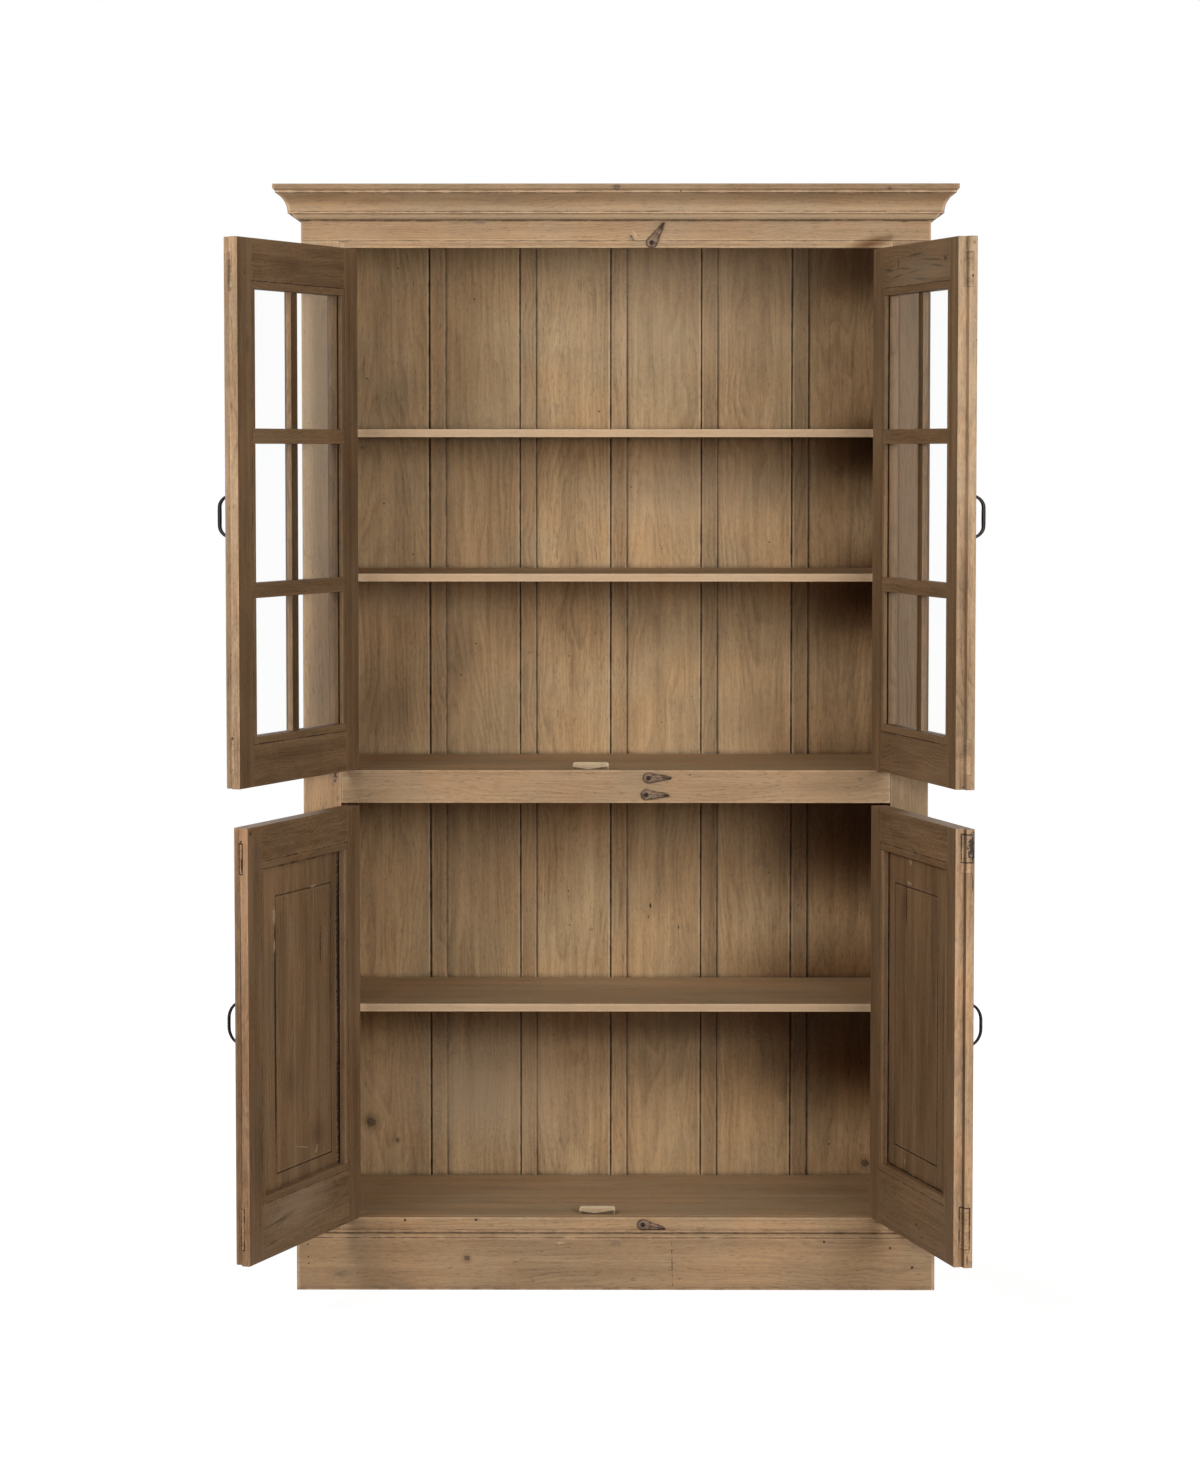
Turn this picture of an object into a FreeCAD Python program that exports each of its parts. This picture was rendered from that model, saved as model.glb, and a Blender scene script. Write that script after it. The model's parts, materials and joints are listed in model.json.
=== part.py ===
import FreeCAD, Part
import math
import os

# A tall wooden cabinet: two glazed doors over two panelled doors, all standing open.
# Lengths are millimetres and angles are degrees. +Z is up and the front faces -Y.
# The origin is on the floor, under the middle of the front plinth board.

# Carcase
body_width = 1125.0
body_depth = 471.0
total_height = 1991.0
side_thickness = 20.0
frame_thickness = 22.0
frame_stile_width = 67.5
edge_ease = 1.2

# Face frame: the openings above the floor, and what lies over the upper one
lower_opening_bottom = 130.0
lower_opening_top = 884.5
bottom_rail_height = 70.0
mid_rail_height = 59.5
top_rail_height = 12.5
frieze_height = 88.0

# Crown and top board
crown_height = 52.0
crown_projection = 42.5
crown_ovolo_projection = 16.0
crown_ovolo_height = 12.0
crown_step = 6.0
crown_step_height = 3.0
crown_fillet = 4.5
cove_depth = 5.0
top_board_thickness = 11.0
top_board_overhang = 47.5
top_board_bevel = 3.0

# Plinth and its cap
plinth_height = 95.0
plinth_thickness = 15.0
cap_height = 12.0
cap_depth = 13.0
cap_fillet_depth = 5.0
cap_fillet_height = 4.5

# Floors, shelves, cleats and stops
floor_thickness = 18.0
upper_floor_drop = 3.0
shelf_thickness = 14.5
shelf_setback = 62.5
top_shelf_height = 1557.0
middle_shelf_height = 1296.0
lower_shelf_height = 512.0
shelf_end_gap = 1.0
shelf_back_gap = 0.5
cleat_size = 20.0
cleat_setback = 6.0
stop_length = 65.0
stop_height = 15.0
stop_depth = 18.0
stop_taper = 7.0
upper_stop_offset = -45.0
lower_stop_offset = -33.5
stop_clearance = 0.8

# Back boards, each with a proud strip down its left edge
back_field_thickness = 12.0
back_strip_thickness = 19.0
back_strip_width = 30.0
back_strip_round = 2.5
back_board_pitch = 172.0
back_joint_offset = -10.0
back_joint_gaps = (3.0, 1.4, 2.2, 1.6, 2.4)
back_tongue_thickness = 4.0
back_tongue_reach = 8.0
back_groove_clearance = 0.3
back_bottom = 60.0

# Doors
door_thickness = 30.0
door_setback = 0.5
hinge_gap = 2.5
meeting_gap = 2.0
lap_width = 12.0
lap_clearance = 1.0
upper_door_gap_bottom = 3.5
upper_door_gap_top = 3.0
lower_door_gap_bottom = 3.5
lower_door_gap_top = 3.0
door_stile_width = 57.0
upper_top_rail = 72.0
upper_bottom_rail = 72.0
lower_top_rail = 61.5
lower_bottom_rail = 97.0
tenon_thickness = 13.0
tenon_offset = 7.0
tenon_haunch = 26.0
tenon_gap = 0.4
sight_moulding = 5.0

# Glazing
bead_width = 13.0
glass_thickness = 3.0
glass_bead_thickness = 7.0
glass_edge_clearance = 2.0
bar_width = 26.0
bar_moulding = 6.0
pane_rows = 3

# Panels of the lower doors
panel_edge_thickness = 8.0
panel_bead_thickness = 13.0
panel_bead_round = 2.5
panel_bead_gap = 1.8
panel_edge_clearance = 1.0
panel_front_rise = 5.0
panel_bevel = 30.0
field_groove_width = 2.4
field_groove_depth = 2.2
field_margin_hinge = 36.0
field_margin_meeting = 76.0
field_margin_top = 54.0
left_field_margin_bottom = 25.0
right_field_margin_bottom = 40.0

# Open angles as the cabinet stands
upper_left_angle = 110.3
upper_right_angle = 103.6
lower_left_angle = 108.8
lower_right_angle = 103.7

# Butt hinges
knuckle_radius = 4.5
knuckle_standoff = 5.0
pin_radius = 2.5
pin_fit = 0.05
pin_head_radius = 3.6
pin_head_height = 2.0
leaf_thickness = 1.1
leaf_depth = 26.0
leaf_clearance = 0.7
hinge_height = 70.0
hinge_inset = 95.0
middle_knuckle = 28.0
knuckle_gap = 0.3

# Pulls
pull_length = 75.0
pull_projection = 28.0
pull_rod = 5.0
pull_bend = 13.0
pull_rose_radius = 4.2
pull_rose_thickness = 1.6
upper_pull_height = 1407.0
lower_pull_height = 544.5

# Turn buttons and their screws
button_radius = 9.5
button_tip_radius = 1.5
button_reach = 40.0
button_thickness = 4.0
button_clearance = 0.3
button_screw_radius = 2.0
button_screw_fit = 0.08
button_screw_length = 16.0
button_head_radius = 4.2
button_head_height = 1.8
button_slot = 0.9
top_button_across = 64.0
mid_upper_button_across = 59.0
mid_lower_button_across = 55.0
bottom_button_across = 49.5
top_button_rise = 9.3
mid_upper_button_drop = 14.0
mid_lower_button_rise = 15.3
bottom_button_rise = 10.3
top_button_angle = 58.0
mid_upper_button_angle = 0.0
mid_lower_button_angle = -2.0
bottom_button_angle = -11.0

# Places worked out from the sizes above
half_width = body_width / 2
half_opening = half_width - frame_stile_width
inner_half = half_width - side_thickness
face_y = plinth_thickness / 2
frame_back_y = face_y + frame_thickness
back_y = face_y + body_depth
field_y = back_y - back_field_thickness
strip_y = back_y - back_strip_thickness
crown_top = total_height - top_board_thickness
crown_bottom = crown_top - crown_height
frieze_bottom = crown_top - frieze_height
upper_opening_top = frieze_bottom - top_rail_height
upper_opening_bottom = lower_opening_top + mid_rail_height
upper_floor_top = upper_opening_bottom - upper_floor_drop
hinge_axis_x = half_opening - hinge_gap / 2
hinge_axis_y = face_y - knuckle_standoff

# The same places seen from a door's hinge axis: across the door and through its thickness
door_width = (2 * half_opening - 2 * hinge_gap - meeting_gap + lap_width) / 2
door_edge = hinge_gap / 2
door_free = door_edge + door_width
door_front = knuckle_standoff + door_setback
door_back = door_front + door_thickness
door_middle = door_front + door_thickness / 2
sight_hinge = door_edge + door_stile_width + bead_width
sight_free = door_free - door_stile_width - bead_width
glass_front = door_back - glass_bead_thickness - glass_thickness
panel_front = door_back - panel_bead_thickness - panel_edge_thickness

nodes = {}
Z_AXIS = FreeCAD.Vector(0, 0, 1)
Y_AXIS = FreeCAD.Vector(0, 1, 0)
ORIGIN = FreeCAD.Vector(0, 0, 0)


def box(x0, x1, y0, y1, z0, z1):
    """A plain block between two corners."""
    return Part.makeBox(x1 - x0, y1 - y0, z1 - z0, FreeCAD.Vector(x0, y0, z0))


def board(x0, x1, y0, y1, z0, z1):
    """A block of wood with its arrises eased, never by more than its thickness allows."""
    block = box(x0, x1, y0, y1, z0, z1)
    thin = min(x1 - x0, y1 - y0, z1 - z0)
    return block.makeFillet(min(edge_ease, thin / 4), block.Edges)


def cylinder(radius, x, y, z, length, direction=Z_AXIS):
    return Part.makeCylinder(radius, length, FreeCAD.Vector(x, y, z), direction)


def prism(points, run):
    """A closed outline pushed along a vector."""
    outline = Part.makePolygon([FreeCAD.Vector(*p) for p in points + points[:1]])
    return Part.Face(outline).extrude(FreeCAD.Vector(*run))


def chamfer_wedge(x, y, along_x, along_y, z0, z1):
    """A triangular prism standing on Z that cuts a corner at x, y."""
    points = [(x, y, z0), (x + along_x, y, z0), (x, y + along_y, z0)]
    return prism(points, (0, 0, z1 - z0))


def add(name, *solids):
    nodes[name] = list(solids)


# Carcase panels and face frame

def make_carcase():
    for name, side in (("left", -1), ("right", 1)):
        outer = side * half_width
        inner = side * inner_half
        stile_inner = side * half_opening
        panel = board(min(outer, inner), max(outer, inner), frame_back_y, back_y, 0, crown_top)
        stile = board(min(outer, stile_inner), max(outer, stile_inner), face_y, frame_back_y,
                      0, frieze_bottom)
        add(name + "_side", panel)
        add(name + "_stile", stile)
    add("frieze_board", board(-half_width, half_width, face_y, frame_back_y,
                              frieze_bottom, crown_top))
    rails = (("top_rail", upper_opening_top, frieze_bottom),
             ("mid_rail", lower_opening_top, upper_opening_bottom),
             ("bottom_rail", lower_opening_bottom - bottom_rail_height, lower_opening_bottom))
    for name, z0, z1 in rails:
        add(name, board(-half_opening, half_opening, face_y, frame_back_y, z0, z1))
    top = board(-half_width - top_board_overhang, half_width + top_board_overhang,
                face_y - top_board_overhang, back_y, crown_top, total_height)
    far = half_width + top_board_overhang
    near = face_y - top_board_overhang
    bevels = [prism([(-far, near, crown_top), (-far, near + top_board_bevel, crown_top),
                     (-far, near, crown_top + top_board_bevel)], (2 * far, 0, 0))]
    for side in (-1, 1):
        bevels.append(prism([(side * far, near, crown_top),
                             (side * (far - top_board_bevel), near, crown_top),
                             (side * far, near, crown_top + top_board_bevel)],
                            (0, back_y - near, 0)))
    for bevel in bevels:
        top = top.cut(bevel)
    add("top_board", top)


# Mouldings that wrap the front and both sides, with mitred corners

def mitred_wrap(profile, reach):
    """Front and two returns of one moulding. The profile is a face in the YZ plane, with
    its back on the face plane and its projection towards -Y."""
    far = half_width + 2 * reach
    front = profile.extrude(FreeCAD.Vector(2 * far, 0, 0))
    front.translate(FreeCAD.Vector(-far, 0, 0))
    keep = [(-half_width, face_y), (half_width, face_y),
            (far, face_y - (far - half_width)), (-far, face_y - (far - half_width))]
    slab = prism([(x, y, 0) for x, y in keep], (0, 0, total_height))
    pieces = [front.common(slab)]
    for side in (-1, 1):
        run = profile.copy()
        run.translate(FreeCAD.Vector(0, -face_y, 0))
        run.rotate(ORIGIN, Z_AXIS, side * 90)
        run.translate(FreeCAD.Vector(side * half_width, back_y, 0))
        bar = run.extrude(FreeCAD.Vector(0, -(back_y - face_y) - 2 * reach, 0))
        corner = [(side * half_width, back_y), (side * half_width, face_y),
                  (side * far, face_y - (far - half_width)), (side * far, back_y)]
        slab = prism([(x, y, 0) for x, y in corner], (0, 0, total_height))
        pieces.append(bar.common(slab))
    return pieces


def profile_point(projection, height):
    return FreeCAD.Vector(0, face_y - projection, height)


def crown_profile():
    """From the bottom up: an ovolo, a small step, a cove and a top fillet."""
    low = profile_point(0, crown_bottom)
    ovolo_top = profile_point(crown_ovolo_projection, crown_bottom + crown_ovolo_height)
    ovolo_mid = profile_point(crown_ovolo_projection * 0.75,
                              crown_bottom + crown_ovolo_height * 0.43)
    step_out = crown_ovolo_projection + crown_step
    step = profile_point(step_out, crown_bottom + crown_ovolo_height)
    cove_low = profile_point(step_out, crown_bottom + crown_ovolo_height + crown_step_height)
    cove_top = profile_point(crown_projection, crown_top - crown_fillet)
    chord = cove_top.sub(cove_low)
    inward = FreeCAD.Vector(0, chord.z, -chord.y).normalize()
    cove_mid = cove_low.add(chord.multiply(0.5)).add(inward.multiply(cove_depth))
    top_out = profile_point(crown_projection, crown_top)
    top_in = profile_point(0, crown_top)
    edges = [Part.Arc(low, ovolo_mid, ovolo_top).toShape(),
             Part.makeLine(ovolo_top, step),
             Part.makeLine(step, cove_low),
             Part.Arc(cove_low, cove_mid, cove_top).toShape(),
             Part.makeLine(cove_top, top_out),
             Part.makeLine(top_out, top_in),
             Part.makeLine(top_in, low)]
    return Part.Face(Part.Wire(edges))


def cap_profile():
    """A flat foot, a small quarter round and a fillet against the frame."""
    foot_top = plinth_height + cap_height * 0.25
    round_top = plinth_height + cap_height - cap_fillet_height
    top = plinth_height + cap_height
    mid = profile_point(cap_fillet_depth + (cap_depth - cap_fillet_depth) * 0.74,
                        foot_top + (round_top - foot_top) * 0.7)
    corner = profile_point(cap_depth, foot_top)
    shoulder = profile_point(cap_fillet_depth, round_top)
    edges = [Part.makeLine(profile_point(0, plinth_height), profile_point(cap_depth, plinth_height)),
             Part.makeLine(profile_point(cap_depth, plinth_height), corner),
             Part.Arc(corner, mid, shoulder).toShape(),
             Part.makeLine(shoulder, profile_point(cap_fillet_depth, top)),
             Part.makeLine(profile_point(cap_fillet_depth, top), profile_point(0, top)),
             Part.makeLine(profile_point(0, top), profile_point(0, plinth_height))]
    return Part.Face(Part.Wire(edges))


def plinth_profile():
    ease = min(edge_ease, plinth_thickness / 4)
    points = [profile_point(0, 0), profile_point(plinth_thickness, 0),
              profile_point(plinth_thickness, plinth_height - ease),
              profile_point(plinth_thickness - ease, plinth_height), profile_point(0, plinth_height)]
    return Part.Face(Part.makePolygon(points + points[:1]))


def make_mouldings():
    add("crown_moulding", *mitred_wrap(crown_profile(), crown_projection))
    add("plinth", *mitred_wrap(plinth_profile(), plinth_thickness))
    add("plinth_cap", *mitred_wrap(cap_profile(), cap_depth))


# Floors, shelves, cleats, stops and back boards

def shelf(top):
    return board(-inner_half + shelf_end_gap, inner_half - shelf_end_gap, face_y + shelf_setback,
                 strip_y - shelf_back_gap, top - shelf_thickness, top)


def cleat_pair(top, front):
    pair = []
    for side in (-1, 1):
        wall = side * inner_half
        tip = side * (inner_half - cleat_size)
        pair.append(board(min(wall, tip), max(wall, tip), front + cleat_setback,
                          strip_y - shelf_back_gap, top - cleat_size, top))
    return pair


def door_stop(floor_top, centre):
    """A low block with sloping ends, fixed to the floor just behind the closed doors."""
    front = face_y + door_setback + door_thickness + stop_clearance
    left = centre - stop_length / 2
    right = centre + stop_length / 2
    points = [(left, front, floor_top), (right, front, floor_top),
              (right - stop_taper, front, floor_top + stop_height),
              (left + stop_taper, front, floor_top + stop_height)]
    return prism(points, (0, stop_depth, 0))


def make_inside():
    shelf_front = face_y + shelf_setback
    floors = (("upper_floor", upper_floor_top), ("lower_floor", lower_opening_bottom))
    for name, top in floors:
        add(name, board(-inner_half, inner_half, frame_back_y, strip_y - shelf_back_gap,
                        top - floor_thickness, top))
    add("upper_shelves", shelf(top_shelf_height), shelf(middle_shelf_height))
    add("lower_shelf", shelf(lower_shelf_height))
    cleats = []
    for height in (top_shelf_height, middle_shelf_height, lower_shelf_height):
        cleats += cleat_pair(height - shelf_thickness, shelf_front)
    for name, top in floors:
        cleats += cleat_pair(top - floor_thickness, frame_back_y)
    add("shelf_cleats", *cleats)
    add("door_stops", door_stop(upper_floor_top, upper_stop_offset),
        door_stop(lower_opening_bottom, lower_stop_offset))


def back_board(left, right, grooved, tongued):
    """A thin field with a thicker strip at its left, rounded down the strip's free arris. Its
    right edge has a tongue, which closes the joint with the next board behind the gap."""
    field = board(left, right, field_y, back_y, back_bottom, crown_top)
    strip = box(left, left + back_strip_width, strip_y, field_y + edge_ease,
                back_bottom, crown_top)
    front_edges = [e for e in strip.Edges
                   if abs(e.BoundBox.YMax - strip_y) < edge_ease / 10
                   and e.BoundBox.ZLength > back_strip_width]
    strip = strip.makeFillet(min(back_strip_round, back_strip_width / 4), front_edges)
    plank = field.fuse(strip).removeSplitter()
    tongue_y = (field_y + back_y - back_tongue_thickness) / 2
    if grooved:
        plank = plank.cut(box(left, left + back_tongue_reach,
                              tongue_y - back_groove_clearance,
                              tongue_y + back_tongue_thickness + back_groove_clearance,
                              back_bottom, crown_top))
    if tongued:
        tongue = box(right - edge_ease, right + back_tongue_reach - back_groove_clearance,
                     tongue_y, tongue_y + back_tongue_thickness, back_bottom, crown_top)
        plank = plank.fuse(tongue).removeSplitter()
    return plank


def make_back():
    count = len(back_joint_gaps)
    first = -(count - 1) / 2
    joints = [back_joint_offset + back_board_pitch * (first + i) for i in range(count)]
    lefts = [-inner_half] + [j + gap / 2 for j, gap in zip(joints, back_joint_gaps)]
    rights = [j - gap / 2 for j, gap in zip(joints, back_joint_gaps)] + [inner_half]
    planks = []
    for i, (left, right) in enumerate(zip(lefts, rights)):
        planks.append(back_board(left, right, i > 0, i < count))
    add("back_boards", *planks)


# Doors are made closed, seen from their hinge axis, and then swung open

def trim_meeting_edge(shape, side, z0, z1):
    """Cut the lap: a left door loses the front half of its free edge, a right door the back."""
    far = door_free + lap_width
    low = z0 - lap_width
    high = z1 + lap_width
    if side < 0:
        cutter = box(door_free - lap_width, far, door_front - lap_width,
                     door_middle + lap_clearance / 2, low, high)
    else:
        cutter = box(door_free - lap_width, far, door_middle - lap_clearance / 2,
                     door_back + lap_width, low, high)
    return shape.cut(cutter)


def door_stiles(z0, z1, rebate, mortises):
    """Hinge and meeting stiles, full height, rebated from the back and mortised through."""
    stiles = []
    for near, far, toward in ((door_edge, sight_hinge, -bead_width),
                              (sight_free, door_free, bead_width)):
        stile = board(near, far, door_front, door_back, z0, z1)
        sight = sight_hinge if toward < 0 else sight_free
        stile = stile.cut(box(min(sight, sight + toward), max(sight, sight + toward),
                              rebate, door_back, z0, z1))
        for low, high in mortises:
            stile = stile.cut(box(near, far, door_front + tenon_offset - tenon_gap,
                                  door_front + tenon_offset + tenon_thickness + tenon_gap,
                                  low - tenon_gap, high + tenon_gap))
        stiles.append(stile)
    return stiles


def door_rail(z_outer, z_sight, rebate, tenon):
    """A rail with one shoulder at the sight line and one at the stile's rebate, and a tenon
    at each end that runs through the stile."""
    low = min(z_outer, z_sight)
    high = max(z_outer, z_sight)
    inner_sight = z_sight + (bead_width if z_sight == low else -bead_width)
    front = box(sight_hinge, sight_free, door_front, rebate, low, high)
    back = box(sight_hinge - bead_width, sight_free + bead_width, rebate, door_back,
               min(z_outer, inner_sight), max(z_outer, inner_sight))
    eased = []
    for half, face in ((front, door_front), (back, door_back)):
        arris = [e for e in half.Edges
                 if abs(e.BoundBox.ZMin - z_outer) < edge_ease / 10
                 and e.BoundBox.ZLength < edge_ease / 10
                 and abs(e.BoundBox.YMin - face) < edge_ease / 10
                 and e.BoundBox.YLength < edge_ease / 10]
        eased.append(half.makeFillet(edge_ease, arris))
    tongue = box(door_edge, door_free, door_front + tenon_offset,
                 door_front + tenon_offset + tenon_thickness, tenon[0], tenon[1])
    recess = box(sight_hinge - bead_width, sight_free + bead_width, rebate, door_back,
                 min(z_sight, inner_sight), max(z_sight, inner_sight))
    return eased[0].fuse(eased[1]).fuse(tongue).cut(recess).removeSplitter()


def sight_cutter(low, high):
    """The bevel round the front of a door's opening, mitred at its corners."""
    return Part.makeWedge(sight_hinge - sight_moulding, door_front, low - sight_moulding,
                          low, sight_hinge, sight_free + sight_moulding,
                          door_front + sight_moulding, high + sight_moulding, high, sight_free)


def hinge_spans(z0, z1):
    """Bottom and top of each hinge on a door."""
    centres = (z0 + hinge_inset, z1 - hinge_inset)
    return [(c - hinge_height / 2, c + hinge_height / 2) for c in centres]


def leaf(low, high, knuckles, leaf_inner, leaf_outer, bore):
    """A flat leaf with the knuckles that it owns, around the pin's hole."""
    reach = knuckle_radius + leaf_clearance
    plate = box(leaf_inner, leaf_outer, reach, leaf_depth, low, high)
    for k0, k1 in knuckles:
        plate = plate.fuse(box(leaf_inner, leaf_outer, 0, reach, k0, k1))
        plate = plate.fuse(cylinder(knuckle_radius, 0, 0, k0, k1 - k0))
        plate = plate.cut(cylinder(bore, 0, 0, k0, k1 - k0))
    return plate.removeSplitter()


def hinge_pieces(span):
    """Frame leaf, door leaf and pin of one butt hinge, about the axis."""
    low, high = span
    middle = (low + high) / 2
    k0 = middle - middle_knuckle / 2
    k1 = middle + middle_knuckle / 2
    frame = leaf(low, high, [(low, k0 - knuckle_gap), (k1 + knuckle_gap, high)],
                 -door_edge, -door_edge + leaf_thickness, pin_radius + pin_fit / 5)
    door = leaf(low, high, [(k0, k1)], door_edge - leaf_thickness, door_edge,
                pin_radius + pin_fit)
    pin = cylinder(pin_radius, 0, 0, low, high - low)
    for end, grow in ((high, 1), (low, -1)):
        head = cylinder(pin_head_radius, 0, 0, min(end, end + grow * pin_head_height),
                        pin_head_height)
        outer_edge = [e for e in head.Edges
                      if abs(e.BoundBox.ZMin - (end + grow * pin_head_height)) < edge_ease / 10
                      and abs(e.BoundBox.ZMax - (end + grow * pin_head_height)) < edge_ease / 10]
        head = head.makeFillet(min(pin_head_height, pin_head_radius) / 2, outer_edge)
        pin = pin.fuse(head)
    return frame, door, pin


def door_pull(height, side):
    """A bent rod on two small roses, standing off the front of the meeting stile."""
    outer_edge = door_free - lap_width if side < 0 else door_free
    across = (sight_free + outer_edge) / 2
    radius = pull_rod / 2
    out = door_front - pull_projection + radius
    top = height + pull_length / 2 - radius
    low = height - pull_length / 2 + radius
    bend = min(pull_bend, (top - low) / 3, (door_front - out) * 0.8)
    shift = bend * (1 - math.cos(math.pi / 4))

    def at(through, z):
        return FreeCAD.Vector(across, through, z)
    edges = [Part.makeLine(at(door_front, top), at(out + bend, top)),
             Part.Arc(at(out + bend, top), at(out + shift, top - shift),
                      at(out, top - bend)).toShape(),
             Part.makeLine(at(out, top - bend), at(out, low + bend)),
             Part.Arc(at(out, low + bend), at(out + shift, low + shift),
                      at(out + bend, low)).toShape(),
             Part.makeLine(at(out + bend, low), at(door_front, low))]
    path = Part.Wire(edges)
    section = Part.Wire(Part.makeCircle(radius, at(door_front, top), Y_AXIS))
    rod = path.makePipeShell([section], True, False)
    for z in (top, low):
        rose = cylinder(pull_rose_radius, across, door_front - pull_rose_thickness, z,
                        pull_rose_thickness, Y_AXIS)
        rod = rod.fuse(rose)
    return rod.removeSplitter()


def place(shape, side, angle):
    """Take a closed door's piece to its side of the cabinet and swing it open."""
    moved = shape.copy()
    if side > 0:
        moved = moved.mirror(ORIGIN, FreeCAD.Vector(1, 0, 0))
    moved.translate(FreeCAD.Vector(side * hinge_axis_x, hinge_axis_y, 0))
    axis_point = FreeCAD.Vector(side * hinge_axis_x, hinge_axis_y, 0)
    moved.rotate(axis_point, Z_AXIS, side * angle)
    return moved


def glazing_lattice(low, high):
    """Moulded bars in front of the glass: one upright and the cross bars each side of it."""
    front = door_front + sight_moulding
    centre = (sight_hinge + sight_free) / 2
    mould = min(bar_moulding, bar_width / 3)
    upright = box(centre - bar_width / 2, centre + bar_width / 2, front, glass_front, low, high)
    for edge, along in ((centre - bar_width / 2, mould), (centre + bar_width / 2, -mould)):
        upright = upright.cut(chamfer_wedge(edge, front, along, mould, low, high))
    pieces = [upright]
    for z0 in bar_heights(low, high):
        for a, b in ((sight_hinge, centre - bar_width / 2), (centre + bar_width / 2, sight_free)):
            points = [(a, front + mould, z0), (a, front, z0 + mould),
                      (a, front, z0 + bar_width - mould), (a, front + mould, z0 + bar_width),
                      (a, glass_front, z0 + bar_width), (a, glass_front, z0)]
            pieces.append(prism(points, (b - a, 0, 0)))
    return pieces


def bar_heights(low, high):
    """Bottom of each cross bar, so that the panes between come out equal."""
    pane = (high - low - (pane_rows - 1) * bar_width) / pane_rows
    return [low + pane * (i + 1) + bar_width * i for i in range(pane_rows - 1)]


def glazing_beads(low, high):
    """Beads around each pane at the back of the glass, between cross bars that run through."""
    bead_front = glass_front + glass_thickness
    left = sight_hinge - bead_width
    right = sight_free + bead_width
    bars = bar_heights(low, high)
    pieces = [board(left, right, bead_front, door_back, z0, z0 + bar_width) for z0 in bars]
    pieces.append(board(left, right, bead_front, door_back, low - bead_width, low))
    pieces.append(board(left, right, bead_front, door_back, high, high + bead_width))
    starts = [low] + [z0 + bar_width for z0 in bars]
    ends = bars + [high]
    for z0, z1 in zip(starts, ends):
        pieces.append(board(left, sight_hinge, bead_front, door_back, z0, z1))
        pieces.append(board(sight_free, right, bead_front, door_back, z0, z1))
    return pieces


def glass_panes(low, high):
    cover = bead_width - glass_edge_clearance
    bars = bar_heights(low, high)
    seat = bar_width / 2 - glass_edge_clearance
    starts = [low - cover] + [z0 + bar_width - seat for z0 in bars]
    ends = [z0 + seat for z0 in bars] + [high + cover]
    return [box(sight_hinge - cover, sight_free + cover, glass_front,
                glass_front + glass_thickness, z0, z1) for z0, z1 in zip(starts, ends)]


def door_panel(low, high, margin_bottom):
    """A fielded panel: bevelled on the front, with a grooved line round its field on the back."""
    cover = bead_width - panel_edge_clearance
    left = sight_hinge - cover
    right = sight_free + cover
    back = panel_front + panel_edge_thickness
    sheet = box(left, right, panel_front, back, low - cover, high + cover)
    raised = Part.makeWedge(sight_hinge + panel_bevel, panel_front - panel_front_rise,
                            low + panel_bevel, low, sight_hinge, sight_free - panel_bevel,
                            panel_front, high - panel_bevel, high, sight_free)
    grooves = []
    for inset in (0, field_groove_width):
        grooves.append(box(sight_hinge + field_margin_hinge + inset,
                           sight_free - field_margin_meeting - inset,
                           back - field_groove_depth, back,
                           low + margin_bottom + inset, high - field_margin_top - inset))
    return sheet.fuse(raised).removeSplitter().cut(grooves[0].cut(grooves[1]))


def panel_beads(low, high):
    """Four beads that hold the panel from the back. The panel has shrunk clear of one."""
    front = panel_front + panel_edge_thickness
    left = sight_hinge - bead_width
    right = sight_free + bead_width
    soft = min(panel_bead_round, bead_width / 2, panel_bead_thickness / 2)
    bars = [box(left, right, front, door_back, low - bead_width, low),
            box(left, right, front, door_back, high, high + bead_width),
            box(left, sight_hinge, front + panel_bead_gap, door_back, low, high),
            box(sight_free, right, front, door_back, low, high)]
    sights = [("z", low), ("z", high), ("x", sight_hinge), ("x", sight_free)]
    rounded = []
    for bar, (axis, sight) in zip(bars, sights):
        picked = []
        for edge in bar.Edges:
            bound = edge.BoundBox
            flat_y = abs(bound.YMin - door_back) < soft / 100
            if axis == "z":
                at_sight = abs(bound.ZMin - sight) < soft / 100 and bound.ZLength < soft
                long = bound.XLength > bead_width * 2
            else:
                at_sight = abs(bound.XMin - sight) < soft / 100 and bound.XLength < soft
                long = bound.ZLength > bead_width * 2
            if flat_y and at_sight and long:
                picked.append(edge)
        rounded.append(bar.makeFillet(soft, picked))
    return rounded


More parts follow.
